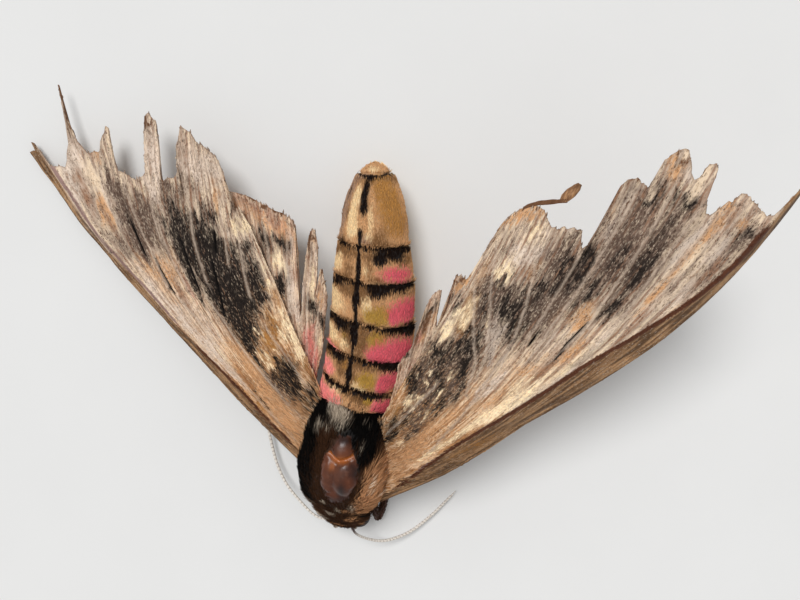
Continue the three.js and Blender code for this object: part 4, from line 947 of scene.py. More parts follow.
class Paint:
    """A material as it is built up."""

    def __init__(self, name, **even):
        self.material = bpy.data.materials.new(name)
        self.material.use_nodes = True
        self.surface = self.material.node_tree.nodes["Principled BSDF"]
        for socket, value in even.items():
            self.surface.inputs[socket.replace("_", " ")].default_value = value

    def add(self, kind, settings, inputs, output=0):
        node = self.material.node_tree.nodes.new(kind)
        for name, value in settings.items():
            setattr(node, name, value)
        for name, value in inputs.items():
            self.plug(value, node.inputs[name])
        return Channel(self, node.outputs[output])

    def plug(self, value, socket):
        if isinstance(value, Channel):
            self.material.node_tree.links.new(value.socket, socket)
        else:
            socket.default_value = value

    def attribute(self, name):
        return self.add("ShaderNodeAttribute", {"attribute_name": name}, {}, "Fac")

    def object_place(self):
        return self.add("ShaderNodeTexCoord", {}, {}, "Object")

    def chart(self, name):
        return self.add("ShaderNodeUVMap", {"uv_map": name}, {})

    def scaled(self, place, *factors):
        return self.add("ShaderNodeVectorMath", {"operation": "MULTIPLY"}, {0: place, 1: factors})

    def noise(self, place, scale, detail=3.0, rough=0.55):
        return self.add("ShaderNodeTexNoise", {},
                        {"Vector": place, "Scale": scale, "Detail": detail, "Roughness": rough})

    def blend(self, amount, first, second):
        return self.add("ShaderNodeMix", {"data_type": "RGBA"}, {0: amount, 6: first, 7: second}, 2)

    def brightened(self, colour, value):
        return self.add("ShaderNodeHueSaturation", {}, {"Color": colour, "Value": value})

    def bump(self, height, depth):
        """The normal of a surface that stands `depth` millimetres proud where height is 1."""
        return self.add("ShaderNodeBump", {}, {"Height": height, "Distance": depth * MM})

    def finish(self, **inputs):
        for socket, value in inputs.items():
            self.plug(value, self.surface.inputs[socket.replace("_", " ")])
        return self.material


def layered(paint, base, grain, layers, whole=0.62):
    """Colours laid over the base one by one, each where its attribute says, broken up by the grain. A layer
    is the attribute's name, its colour and how much the grain breaks it; it covers the base where it reaches
    whole."""
    for name, colour, broken in layers:
        amount = (paint.attribute(name) * (1 - broken + grain * (2 * broken))).between(0.14, whole)
        base = paint.blend(amount, base, shade(*colour))
    return base


BODY_LAYERS = [
    ("bistre", (136, 98, 62), 0.6), ("cream", (252, 220, 170), 0.4), ("ochre", (186, 134, 72), 0.5),
    ("mauve", (170, 136, 112), 0.5),
    ("olive", (186, 146, 68), 0.4), ("blush", (255, 152, 146), 0.4), ("pink", (228, 104, 116), 0.4),
    ("umber", (64, 40, 24), 0.2), ("rust", (196, 144, 102), 0.6), ("soot", (7, 5, 4), 0.4),
    ("fleck", (236, 218, 194), 0.8), ("grey", (190, 174, 154), 0.5), ("black", (24, 12, 7), 0.3),
]
TAN = shade(216, 166, 118)


def hair_paint():
    """The body's hairs: each has its own tone, and is painted darker toward its root as shade deep in the
    coat.
    """
    paint = Paint("moth hair", Specular_IOR_Level=0.08)
    tone = paint.attribute("tone")
    colour = layered(paint, TAN, tone, BODY_LAYERS)
    # Painted shade: darker toward each hair's root.
    colour = paint.brightened(colour, (0.8 + 0.3 * paint.attribute("along")) * (0.82 + 0.4 * tone))
    return paint.finish(Base_Color=colour, Roughness=0.62 + 0.2 * tone)


def skin_paint():
    """The skin under the coat, and the bare glossy plates of the worn thorax."""
    paint = Paint("moth skin", Specular_IOR_Level=0.35)
    place = paint.object_place()
    grain = paint.noise(place, 3200)
    coat = layered(paint, TAN, grain, BODY_LAYERS)
    coat = paint.brightened(coat, 0.5 + 0.55 * grain)
    cloudy = paint.noise(place, 420, 4.0)
    fine = paint.noise(place, 1700, 3.0)
    plate = paint.blend(cloudy.between(0.35, 0.65), shade(56, 24, 12), shade(96, 48, 24))
    plate = paint.blend(fine.between(0.5, 0.75) * 0.2, plate, shade(140, 96, 76))
    plate = paint.blend(paint.attribute("amber"), plate, shade(176, 100, 44))
    # Painted highlight: mauve over the tops of the plates' domes.
    plate = paint.blend(paint.attribute("mauve") * 0.6, plate, shade(108, 68, 50))
    plate = paint.blend(paint.attribute("plum"), plate, shade(36, 17, 13))
    bare = (paint.attribute("bald") + 0.3 * grain - 0.15).between(0.3, 0.7)
    colour = paint.blend(bare, coat, plate)
    rough = 0.85 - bare * (0.6 - 0.16 * fine)
    height = (1 - bare) * grain + bare * fine * 0.3
    return paint.finish(Base_Color=colour, Roughness=rough, Normal=paint.bump(height, 0.12))


GROUND_LAYERS = [
    ("bark", (132, 102, 74), 0.2), ("tan", (216, 166, 120), 0.9), ("rose", (232, 136, 126), 0.6),
    ("gold", (184, 130, 70), 0.5), ("pale", (230, 210, 192), 0.8), ("umber", (100, 80, 68), 0.9),
]
SPOT_LAYERS = [("smudge", (34, 26, 21), 0.75), ("cream", (252, 228, 190), 0.75)]
# The near-black crack colour is painted shade inside the cracks and creases; the brown lines are partly
# painted shade beside the raised veins.
LINE_LAYERS = [("brown", (108, 74, 50), 0.7), ("plum", (150, 122, 114), 0.8), ("ridge", (92, 54, 36), 0.5),
               ("crease", (16, 12, 10), 0.2)]


def wing_paint(name, near, far, flecks):
    """A wing's membrane, or the scales on it: streaked along its fibres and speckled. Its ground runs from
    the near colour at the root to the far one at the margin."""
    paint = Paint(name, Specular_IOR_Level=0.2)
    rays = paint.chart("Rays")
    streaks = paint.noise(paint.scaled(rays, 0.9, 4.0, 1.0), 1.0, 4.0, 0.65)
    speckle = paint.noise(paint.scaled(rays, 2.6, 5.0, 1.0), 1.0, 2.0, 0.6)
    stripes = paint.noise(paint.scaled(rays, 0.14, 2.4, 1.0), 1.0, 4.0, 0.6)
    tone = paint.attribute("tone") if flecks else speckle
    away = paint.attribute("far")
    colour = paint.blend(away, shade(*near), shade(*far))
    colour = paint.blend(stripes.between(0.44, 0.6) * 0.7, colour, shade(246, 222, 190))
    colour = paint.blend((1 - stripes).between(0.5, 0.64) * 0.7, colour, shade(160, 106, 66))
    grain = tone * 0.5 + streaks * 1.5 + stripes * 0.8 - 0.9
    colour = layered(paint, colour, grain, GROUND_LAYERS, 0.95)
    lines = paint.blend(stripes.between(0.42, 0.6), shade(92, 64, 42), shade(184, 144, 104))
    colour = paint.blend(paint.attribute("bark") * (1 - paint.attribute("gold")) * 0.7, colour, lines)
    grit = tone * 0.55 + speckle * 0.45
    colour = paint.blend(grit.between(0.58, 0.72) * (0.3 + 0.3 * away), colour, shade(84, 66, 54))
    colour = paint.blend((1 - grit).between(0.6, 0.74) * (0.15 + 0.25 * away), colour, shade(236, 216, 194))
    colour = layered(paint, colour, grain, SPOT_LAYERS, 0.88)
    colour = layered(paint, colour, grain, LINE_LAYERS)
    colour = paint.blend(paint.attribute("vein") * 0.65, colour, shade(206, 184, 164))
    lower = paint.blend(streaks.between(0.4, 0.6), shade(150, 128, 112), shade(188, 160, 138))
    colour = paint.blend(paint.attribute("under"), colour, lower)
    ribs = stripes.between(0.36, 0.64)
    colour = paint.brightened(colour, 0.48 + 0.4 * tone + 0.42 * streaks + 0.24 * ribs)
    normal = paint.bump(streaks * 0.6 + speckle * 0.4, 0.12)
    return paint.finish(Base_Color=colour, Roughness=0.6 + 0.25 * tone, Normal=normal)


def eye_paint():
    """Dark brown eyes of many small facets."""
    paint = Paint("compound eye", Specular_IOR_Level=0.2)
    place = paint.object_place()
    facets = paint.add("ShaderNodeTexVoronoi", {"feature": "DISTANCE_TO_EDGE"},
                       {"Vector": place, "Scale": 8500, "Randomness": 0.15})
    cloudy = paint.noise(place, 900)
    colour = paint.blend(cloudy.between(0.3, 0.7), shade(14, 10, 9), shade(40, 27, 20))
    return paint.finish(Base_Color=colour, Roughness=0.35 + 0.15 * cloudy,
                        Normal=paint.bump(facets.between(0.0, 0.2), 0.02))


def cuticle_paint(name, dark, light, rough):
    """Hard brown skin, as of the legs and the tongue."""
    paint = Paint(name)
    place = paint.object_place()
    cloudy, fine = paint.noise(place, 800), paint.noise(place, 5000)
    colour = paint.blend(cloudy.between(0.3, 0.7), shade(*dark), shade(*light))
    return paint.finish(Base_Color=paint.brightened(colour, 0.8 + 0.4 * fine), Roughness=rough + 0.2 * fine,
                        Normal=paint.bump(fine, 0.03))


def feeler_paint():
    """The antennae: white scales above, with brown between the joints."""
    paint = Paint("antenna scales")
    place = paint.object_place()
    fine = paint.noise(place, 6000)
    colour = paint.blend(fine.between(0.45, 0.75), shade(236, 229, 219), shade(190, 174, 160))
    colour = paint.blend(paint.attribute("joint") * 0.6, colour, shade(122, 102, 86))
    colour = paint.blend(paint.attribute("reddish"), colour, shade(58, 38, 36))
    return paint.finish(Base_Color=colour, Roughness=0.55 + 0.2 * fine, Normal=paint.bump(fine, 0.03))


def floor_paint():
    paint = Paint("pale floor")
    place = paint.object_place()
    mottle = paint.noise(place, 60)
    return paint.finish(Base_Color=paint.blend(mottle, shade(228, 228, 227), shade(233, 233, 232)),
                        Roughness=0.9)


# ---- Making meshes ----


def read(items, field, width, kind=np.float64):
    values = np.empty(len(items) * width, kind)
    items.foreach_get(field, values)
    return values.reshape(-1, width) if width > 1 else values


def tag(piece, numbers):
    """Gives every vertex of a piece its numbers, by name, for the materials."""
    for name, values in numbers.items():
        layer = piece.data.attributes.new(name, "FLOAT", "POINT")
        layer.data.foreach_set("value", np.asarray(values, np.float32))


def chart(piece, name, places):
    """A UV map from one place for each vertex."""
    corners = read(piece.data.loops, "vertex_index", 1, np.int32)
    layer = piece.data.uv_layers.new(name=name)
    layer.data.foreach_set("uv", places[corners].astype(np.float32).ravel())


def select_only(piece):
    bpy.ops.object.select_all(action="DESELECT")
    piece.select_set(True)
    bpy.context.view_layer.objects.active = piece


def put_in_scene(name, data):
    piece = bpy.data.objects.new(name, data)
    bpy.context.scene.collection.objects.link(piece)
    return piece


def carve(piece, modifier):
    """Works a modifier into the piece's own mesh."""
    select_only(piece)
    bpy.ops.object.modifier_apply(modifier=modifier.name)


def done(piece, material, slot, *nodes):
    """Gives a piece its material and its body, and hides the nodes that it stands in for; its slot is not
    used.
    """
    piece.data.materials.clear()
    piece.data.materials.append(material)
    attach(piece, "root")
    if nodes:
        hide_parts(*nodes)
    return piece


def shaped_grid(name, columns, rows, point, natural=lambda a, b: (a, b)):
    """A grid with its points laid on a surface. Returns the piece and each point's two natural numbers."""
    bpy.ops.object.select_all(action="DESELECT")
    bpy.ops.mesh.primitive_grid_add(x_subdivisions=len(columns) - 1, y_subdivisions=len(rows) - 1, size=2,
                                    calc_uvs=False)
    piece = bpy.context.object
    piece.name = piece.data.name = name
    flat = (read(piece.data.vertices, "co", 3)[:, :2] + 1) / 2
    a = columns[np.rint(flat[:, 0] * (len(columns) - 1)).astype(int)]
    b = rows[np.rint(flat[:, 1] * (len(rows) - 1)).astype(int)]
    places = natural(a, b)
    piece.data.vertices.foreach_set("co", packed(point(*places)).ravel())
    bpy.ops.object.shade_smooth()
    return piece, places


def close_seams(piece):
    """Joins points that meet, and turns every face outward."""
    select_only(piece)
    bpy.ops.object.mode_set(mode="EDIT")
    bpy.ops.mesh.select_all(action="SELECT")
    bpy.ops.mesh.remove_doubles(threshold=2e-7)
    bpy.ops.mesh.normals_make_consistent(inside=False)
    bpy.ops.object.mode_set(mode="OBJECT")


def smooth_line(points, count):
    """A smooth curve through the points, as evenly spaced rows."""
    p = np.array(points, float)
    p = np.vstack([2 * p[0] - p[1], p, 2 * p[-1] - p[-2]])
    f = np.linspace(0, 1, 24, endpoint=False)[:, None]
    parts = [0.5 * (2 * p[k] + (p[k + 1] - p[k - 1]) * f
                    + (2 * p[k - 1] - 5 * p[k] + 4 * p[k + 1] - p[k + 2]) * f ** 2
                    + (3 * p[k] - p[k - 1] - 3 * p[k + 1] + p[k + 2]) * f ** 3)
             for k in range(1, len(p) - 2)]
    path = np.vstack(parts + [p[-2:-1]])
    travelled = np.concatenate([[0], np.cumsum(np.linalg.norm(np.diff(path, axis=0), axis=1))])
    at = np.linspace(0, travelled[-1], count)
    return np.stack([np.interp(at, travelled, path[:, k]) for k in range(3)], -1)


THINNEST_ROD = 0.012             # least radius, so that a rod's end stays closed and clean


def rods(name, lines, roundness=1):
    """Closed rods in one piece. A line is rows of x, y, z and radius."""
    curve = bpy.data.curves.new(name, "CURVE")
    curve.dimensions, curve.bevel_depth, curve.bevel_resolution = "3D", MM, roundness
    curve.use_fill_caps = True
    for line in lines:
        spline = curve.splines.new("POLY")
        spline.points.add(len(line) - 1)
        spline.points.foreach_set("co", np.hstack([packed(line[:, :3]), np.ones((len(line), 1))]).ravel())
        spline.points.foreach_set("radius", np.maximum(line[:, 3], THINNEST_ROD))
    select_only(put_in_scene(name, curve))
    bpy.ops.object.convert(target="MESH")
    piece = bpy.context.object
    close_seams(piece)
    bpy.ops.object.shade_smooth()
    return piece


# ---- The coat ----

NUDGE = 1e-3                     # of a or b, to find which way a surface runs


class Cover:
    """A surface that hairs or scales grow on. a and b run from 0 to 1 over it, and `natural` turns them into
    the two numbers that `point` and `marks` take. `outward` gives a direction out of it."""

    def __init__(self, natural, point, marks, outward):
        self.natural, self.point, self.marks, self.outward = natural, point, marks, outward

    def frames(self, a, b):
        """Points, outward normals, directions in which b grows, and how much area there is."""
        at = lambda a, b: self.point(*self.natural(a, b))
        here, ahead = at(a, b), at(a, b + NUDGE) - at(a, b - NUDGE)
        normal = np.cross(at(a + NUDGE, b) - at(a - NUDGE, b), ahead)
        area = np.linalg.norm(normal, axis=-1)
        normal = unit(normal)
        inward = (normal * self.outward(here, *self.natural(a, b))).sum(-1) < 0
        return here, np.where(inward[:, None], -normal, normal), unit(ahead), area


PATCH = 0.003                    # size of a lock's own patch on its chart, whose side is 1


def lock_faces(rows):
    """Triangles of one closed, three-sided tapering lock with that many rings of points under its tip."""
    faces, tip = [(0, 1, 2)], 3 * rows
    for row in range(rows):
        for k in range(3):
            i, j = 3 * row + k, 3 * row + (k + 1) % 3
            faces += [(j, i, tip)] if row == rows - 1 else [(j, i, i + 3), (j, i + 3, j + 3)]
    return np.array(faces)


def grow(name, cover, count, seed, length, width, rise=18, curl=0.5, swirl=22, turn=0, rows=3,
         density=None, sink=0.06, lump=0.9, profile=(0.8, 1.0, 0.7), extra=None):
    """Locks of hair or scales over a cover, in one piece. Angles are in degrees and sizes in millimetres;
    length, width, rise, turn and density may be functions of the cover's two natural numbers."""
    rng = np.random.default_rng(seed)
    ask = lambda value, places: value(*places) if callable(value) else np.full(len(places[0]), float(value))
    a, b = rng.random((2, count * 5))
    weight = cover.frames(a, b)[3]
    if density:
        weight = weight * density(*cover.natural(a, b))
    picked = rng.choice(len(a), count, replace=False, p=weight / weight.sum())
    a, b = a[picked], b[picked]
    here, normal, ahead, _ = cover.frames(a, b)
    places = cover.natural(a, b)
    side = unit(np.cross(normal, ahead))
    ahead = np.cross(side, normal)
    tone, stray, other = rng.random(count), rng.normal(size=count), rng.normal(size=count)
    swing = np.radians(ask(turn, places) + swirl * (1.1 * cloud(here, lump, seed) + 0.45 * stray))
    way = ahead * column(np.cos(swing)) + side * column(np.sin(swing))
    across = np.cross(way, normal)
    lift = np.radians(ask(rise, places) * (1 + 0.3 * other + 0.5 * cloud(here, 0.7 * lump, seed + 1)))
    long = ask(length, places) * (0.7 + 0.6 * rng.random(count))
    wide = ask(width, places) * (0.75 + 0.5 * rng.random(count))
    forward, up = column(long * np.cos(lift)), column(long * np.sin(lift))
    points, fractions = [], []
    for row in range(rows + 1):
        f = row / rows
        spine = here + way * forward * f + normal * (up * (f - curl * f * f) - sink * (1 - f))
        half = column(wide * (profile[row] if row < rows else 0) / 2)
        ring = [spine] if row == rows else [spine - across * half, spine + across * half,
                                            spine + normal * half * 0.8]
        points += ring
        fractions += [f] * len(ring)
    size = len(points)
    mesh = bpy.data.meshes.new(name)
    faces = (lock_faces(rows)[None] + size * np.arange(count)[:, None, None]).reshape(-1, 3)
    mesh.vertices.add(size * count)
    mesh.vertices.foreach_set("co", packed(np.stack(points, 1)).ravel())
    mesh.loops.add(faces.size)
    mesh.loops.foreach_set("vertex_index", faces.ravel())
    mesh.polygons.add(len(faces))
    mesh.polygons.foreach_set("loop_start", np.arange(0, faces.size, 3))
    mesh.update()
    piece = put_in_scene(name, mesh)
    numbers = dict(cover.marks(*places), tone=tone)
    tag(piece, {key: np.repeat(values, size) for key, values in numbers.items()})
    tag(piece, {"along": np.tile(fractions, count)})
    corners = np.array([(-1, -1), (1, -1), (0, -0.6)] * rows + [(0, 1)]) * PATCH / 2
    corners[:, 1] += 0.8 * PATCH * np.array(fractions)
    patch = np.stack([a, b], -1)[:, None] * 0.99 + 0.004 + corners
    chart(piece, "OFBake", patch.reshape(-1, 2))
    if extra:
        chart(piece, "Rays", np.repeat(extra(*places), size, axis=0))
    return piece


# ---- The body ----


def along_body(start, stop):
    return lambda a, b: (mix(start, stop, b), 360 * a - 90)


def body_cover(start, stop):
    outward = lambda here, y, angle: here - body_frame(y)[0]
    return Cover(along_body(start, stop), skin_point, body_marks, outward)


def plate_marks(y, angle):
    """Colours that only the bare plates have, and the mauve of the painted highlights on their domes."""
    amber = marked([(-6.1, 76, 0.4, 8, 0.8), (-7.0, 86, 0.6, 3, 0.7)], y, angle)
    plum = [(-9.6, 72, 1.4, 6), (-7.6, 56, 1.0, 6, 0.9), (-4.0, 75, 0.4, 14, 0.9), (-11.6, 84, 0.7, 12, 0.8)]
    mauve = [(-7.8, 76, 1.1, 7, 0.8), (-8.6, 92, 1.6, 7, 0.6), (-5.0, 80, 0.8, 9, 0.7)]
    return {
        "amber": np.clip(0.8 * groove(y, angle) + amber, 0, 1),
        "plum": marked(plum, y, angle),
        "mauve": marked(mauve, y, angle),
    }


def palp_line(side):
    places = [(1.25, -15.3, 2.4), (1.3, -16.9, 2.5), (1.2, -17.8, 3.4), (1.05, -18.0, 4.5)]
    middle = face_place(0, 0)[0]
    spine = smooth_line([(middle + x * side, y, z + 0.3 * side) for x, y, z in places], 26)
    f = np.linspace(0, 1, len(spine))
    radius = (0.72 * np.sin(math.pi * np.minimum(0.12 + 0.82 * f, 0.93)) ** 0.5
              * np.minimum(1, 0.4 + 9 * (1 - f)) - 0.2)
    return np.column_stack([spine, np.maximum(radius, 0.1)])


def body_rows():
    """Places along the body for the skin's rings: close together in its rounded ends."""
    cap = ROUNDED_END * (1 - np.cos(np.linspace(0, math.pi / 2, 7)))
    past_cap = ROUNDED_END + 0.15
    trunk = np.linspace(NOSE + past_cap, TAIL - past_cap, 268)
    return np.concatenate([NOSE + cap, trunk, (TAIL - cap)[::-1]])


def make_skin(material):
    rows = body_rows()
    skin, (y, angle) = shaped_grid("body_skin", np.linspace(0, 1, 133), rows, skin_point,
                                   lambda a, b: (b, 360 * a - 90))
    marks, plate = body_marks(y, angle), plate_marks(y, angle)
    # The skin's mauve channel also carries the painted highlights on the bare plates.
    tag(skin, dict(marks, **dict(plate, mauve=np.maximum(marks["mauve"], plate["mauve"]))))
    chart(skin, "OFBake", np.stack([(angle + 90) / 360, (y - NOSE) / (TAIL - NOSE)], -1) * 0.98 + 0.01)
    close_seams(skin)
    for name, side in SIDES.items():
        palp = rods(f"palp_core_{name}", [palp_line(side)], 4)
        union = skin.modifiers.new("palp", "BOOLEAN")
        union.operation, union.object, union.solver = "UNION", palp, "EXACT"
        carve(skin, union)
        bpy.data.objects.remove(palp)
    flesh = ["head", "palp_left", "palp_right", "thorax", "tegula_left", "tegula_right"]
    flesh += [f"abdomen_{number}" for number in range(1, 8)]
    return done(skin, material, "thorax_fur", *flesh)


def top_of(angle):
    """1 on the back, 0 on the belly."""
    return 1 - step(85, 125, from_back(angle))


def clear_of_eyes(y, angle):
    """0 where an eye fills the side of the head."""
    near = np.hypot((y - FACE_Y) / 1.5, np.minimum(np.abs(angle + 23), np.abs(angle - 203)) / 32)
    return step(0.85, 1.05, near)


def brow(y, angle):
    """1 over each eye, where longer hair leans out."""
    return marked([(FACE_Y + 0.2, middle, 1.8, 26) for middle in (22, 158)], y, angle)


def brow_turn(y, angle):
    """Hair over the eyes is turned outward, to the side that it grows on."""
    return 75 * brow(y, angle) * np.where(angle < 90, -1, 1)


def head_hair_length(y, angle):
    return 0.5 + 0.5 * step(-16.5, -13.5, y) + 0.9 * brow(y, angle)


def shoulders(y, angle):
    """1 at the wings' roots, where long hair runs out on to them."""
    return marked([(-8.5, 22, 4.5, 20), (-5.5, 158, 3.5, 20)], y, angle)


def shoulder_turn(y, angle):
    return 50 * shoulders(y, angle) * np.where(angle < 90, -1, 1)


def thorax_hair_length(y, angle):
    """Longest at the rear, where it hides the waist, and at the shoulders."""
    long = 0.8 + 0.6 * step(-9, -4, y) + 0.8 * shoulders(y, angle) + 0.2 * tegulae(y, angle)
    return long * (1 - 0.6 * bald(y, angle))


def make_body_coat(material):
    """Fur of the head and thorax, and the shorter coat of the abdomen."""
    whole = lambda y, angle: np.clip(1 - 1.04 * bald(y, angle), 0, 1)
    grow_hair = lambda name, slot, *args, **more: done(grow(name, *args, **more), material, slot)
    grow_hair("head_fur", "head_fur", body_cover(NOSE, NECK + 0.2), 8200, 101, head_hair_length, 0.1,
              rise=26, turn=brow_turn,
              density=lambda y, angle: clear_of_eyes(y, angle) * (1 + brow(y, angle)))
    grow_hair("thorax_fur", "thorax_fur", body_cover(NECK - 0.2, WAIST + 0.1), 12200, 102,
              thorax_hair_length, 0.1, rise=18, swirl=15, turn=shoulder_turn,
              density=lambda y, angle: whole(y, angle) * (0.35 + top_of(angle)), lump=1.3)
    grow_hair("belly_fur", "thorax_fur", body_cover(NECK - 0.2, WAIST + 0.6), 5500, 103, 1.25, 0.17, rise=24,
              density=lambda y, angle: 1 - top_of(angle), lump=1.3)
    grow_hair("back_coat", "abdomen_scales", body_cover(WAIST - 0.2, TAIL - 0.1), 19000, 104,
              lambda y, angle: 0.54 - 0.2 * step(TAIL - 2, TAIL - 1.2, y), 0.1, rise=11, swirl=9, rows=2,
              density=lambda y, angle: 0.05 + top_of(angle))
    grow_hair("underside_coat", "abdomen_scales", body_cover(WAIST - 0.2, TAIL - 0.1), 8000, 105, 0.65, 0.14,
              rise=14, swirl=12, rows=2, density=lambda y, angle: 1.05 - top_of(angle))
    grey_tipped = limb_marks(lambda a, b: 0.5 * (b > 0.55))
    for name, side in SIDES.items():
        grow_hair(f"palp_fur_{name}", "head_fur", rod_cover(palp_line(side), grey_tipped), 1300, 106 + side,
                  0.36, 0.09, rise=22, rows=2)


def limb_marks(grey):
    """The marks of umber hair on a rod, with grey where `grey` of its a and b says."""
    def marks(a, b):
        nothing = 0 * a
        plain = {name: nothing for name in body_marks(nothing, nothing)}
        return dict(plain, umber=nothing + 1, grey=nothing + grey(a, b))

    return marks


def rod_cover(line, marks):
    """The surface round a rod's line, for its hair: a runs round it and b along it."""
    def spine(b, k):
        return np.interp(b, np.linspace(0, 1, len(line)), line[:, k])

    def point(a, b):
        middle = np.stack([spine(b, k) for k in range(3)], -1)
        ahead = unit(np.stack([spine(b + 0.02, k) - spine(b - 0.02, k) for k in range(3)], -1))
        side = unit(np.cross(ahead, [0.13, 0.21, 0.97]))
        around = 2 * math.pi * a
        out = side * column(np.cos(around)) + np.cross(side, ahead) * column(np.sin(around))
        return middle + out * column(spine(b, 3))

    outward = lambda here, a, b: here - np.stack([spine(b, k) for k in range(3)], -1)
    return Cover(lambda a, b: (a, 0.02 + 0.96 * b), point, marks, outward)


# ---- Eyes, feelers and tongue ----


def make_eyes(material):
    for name, side in SIDES.items():
        middle = eye_middle(side)
        _, out, up, _, _ = body_frame(np.array([FACE_Y]))
        out, up = out[0] * side, up[0]
        forward = np.cross(out, up)

        def point(a, b):
            around, tilt = 2 * math.pi * a, math.pi * b
            radius = (EYE_RADIUS - 0.03) * (1 - 0.05 * np.sin(tilt) * np.cos(around) ** 2)
            return (middle + up * column(radius * np.sin(tilt) * np.cos(around))
                    + forward * column(radius * np.sin(tilt) * np.sin(around))
                    + out * column(0.94 * radius * np.cos(tilt)))

        piece, _ = shaped_grid(f"compound_eye_{name}", np.linspace(0, 1, 49), np.linspace(0, 1, 33), point)
        close_seams(piece)
        done(piece, material, "eye", f"eye_{name}")


ANTENNAE = {
    "right": [
        (-3.4, -15.9, 7.0), (-5.9, -16.0, 5.6), (-8.3, -14.7, 3.5), (-9.9, -13.2, 2.2), (-11.0, -11.0, 1.6),
        (-11.7, -8.3, 1.3), (-12.2, -5.0, 1.3), (-12.0, -2.0, 1.4), (-11.3, -0.4, 1.5),
    ],
    "left": [
        (-1.7, -16.0, 6.9), (-1.2, -18.2, 5.6), (0.5, -20.1, 3.4), (2.6, -20.8, 2.2), (5.4, -20.1, 1.3),
        (8.1, -18.1, 0.9), (10.0, -16.1, 0.9), (10.8, -15.2, 0.95), (11.2, -14.7, 1.0),
    ],
}
ANTENNA_JOINTS = 44


def make_antennae(material):
    for name, points in ANTENNAE.items():
        spine = smooth_line(points, 4 * ANTENNA_JOINTS + 1)
        f = np.linspace(0, 1, len(spine))
        phase = np.arange(len(spine)) % 4
        radius = (0.14 + 0.05 * np.sin(math.pi * f ** 1.3) + 0.14 * (1 - step(0, 0.06, f))
                  - 0.1 * step(0.93, 1, f))
        radius = radius * np.where(phase == 0, 0.8, 1.0)
        piece = rods(f"ringed_antenna_{name}", [np.column_stack([spine, radius])], 3)
        around = len(piece.data.vertices) // len(spine)
        ring = np.minimum(np.arange(len(piece.data.vertices)) // around, len(spine) - 1)
        tag(piece, {"joint": 1.0 * (phase[ring] == 0),
                    "reddish": (name == "left") * (1 - step(0.08, 0.2, f[ring]))})
        done(piece, material, "antenna", f"antenna_{name}")


TONGUE_COILS = 2.2


def make_tongue(material):
    """The tongue, coiled like a watch spring between the palps, with fine rings along it."""
    turn = 2.2 + np.linspace(0, 2 * math.pi * TONGUE_COILS, 90)
    radius = np.linspace(1.25, 0.42, len(turn))
    middle = face_place(0, 0)[0]
    thickness = (0.17 - 0.05 * np.linspace(0, 1, len(turn))
                 + 0.012 * np.cos(np.arange(len(turn)) * math.pi))
    line = np.column_stack([np.full(len(turn), middle), -16.9 + radius * np.cos(turn),
                            2.2 + radius * np.sin(turn), thickness])
    done(rods("coiled_tongue", [line], 2), material, "leg", "proboscis")


# ---- Legs ----

# Hip, knee, ankle and tip of the foot of each leg.
LEGS = {
    "foreleg_right": [(-4.6, -11.6, 3.2), (-5.2, -15.3, 1.9), (-7.0, -12.4, 0.8), (-5.8, -6.4, 0)],
    "midleg_right": [(-5.0, -8.6, 3.6), (-7.8, -6.9, 3.2), (-10.2, -4.2, 0.8), (-14.6, 1.8, 0)],
    "hindleg_right": [(-3.9, -4.4, 3.6), (-7.4, -0.6, 3.8), (-9.3, 5.4, 0.8), (-11.6, 13.2, 0)],
    "foreleg_left": [(-0.6, -11.6, 3.0), (1.5, -17.9, 2.2), (3.0, -13.8, 0.8), (6.4, -9.8, 0)],
    "midleg_left": [(0.9, -8.2, 3.6), (5.8, -8.6, 4.4), (10.2, -6.6, 0.8), (17.6, -3.6, 0)],
    "hindleg_left": [(0.9, -4.2, 3.6), (6.2, -0.4, 4.2), (9.8, 5.2, 0.8), (13.4, 12.0, 0)],
}
FOOT_SHARES = (0, 0.36, 0.56, 0.72, 0.86, 1)      # where the five joints of a foot begin and end
FOOT_RADIUS = 0.24               # of its joints at their widest, so the foot just rests on the floor


def tapered(points, radii, count=14):
    """A rod along smooth points, its radius running through the listed ones."""
    spine = smooth_line(points, count)
    places = np.linspace(0, 1, count)
    return np.column_stack([spine, np.interp(places, np.linspace(0, 1, len(radii)), radii)])


def leg_lines(joints):
    """The rods of a leg: thigh and shin first, then the foot's joints, spurs and claws."""
    hip, knee, ankle, toe = (np.array(joint, float) for joint in joints)
    thigh = tapered([hip, (hip + knee) / 2 + [0, 0, 0.25], knee], (0.36, 0.58, 0.66, 0.56, 0.36))
    shin = tapered([knee, (knee + ankle) / 2, ankle], (0.34, 0.46, 0.42, 0.36, 0.3))
    heel, tip = np.array([*ankle[:2], FOOT_RADIUS]), np.array([*toe[:2], FOOT_RADIUS])
    sideways = unit(np.cross(tip - heel, [0, 0, 1]))
    path = smooth_line([heel, (heel + tip) / 2 + 0.25 * sideways, tip], 60)
    last = len(path) - 1
    bridge = tapered([ankle, (ankle + heel) / 2 + 0.04 * sideways, heel + [0, 0, 0.02]],
                     (0.28, 0.25, 0.24), 6)
    lines = [thigh, shin, bridge]
    for start, stop in zip(FOOT_SHARES, FOOT_SHARES[1:]):
        rows = path[int(last * start): int(last * stop) + 1]
        f = np.linspace(0, 1, len(rows))
        lines.append(np.column_stack([rows, 0.17 + 0.07 * f ** 0.7 * (1 - 0.35 * start)]))
    ahead = unit(tip - heel)
    for side in (-1, 1):
        out = ahead * 0.5 + sideways * side * 0.3
        lines.append(tapered([tip, tip + out * 0.7 + [0, 0, 0.05], tip + out * 1.25 + [0, 0, -0.12]],
                             (0.09, 0.07, 0.02), 8))
        start = mix(ankle, knee, 0.06)
        spur = unit(ahead * 0.9 + sideways * side * 0.6 + np.array([0, 0, -0.25]))
        lines.append(tapered([start, start + spur * 0.6, start + spur * 1.15], (0.11, 0.09, 0.02), 8))
    return lines


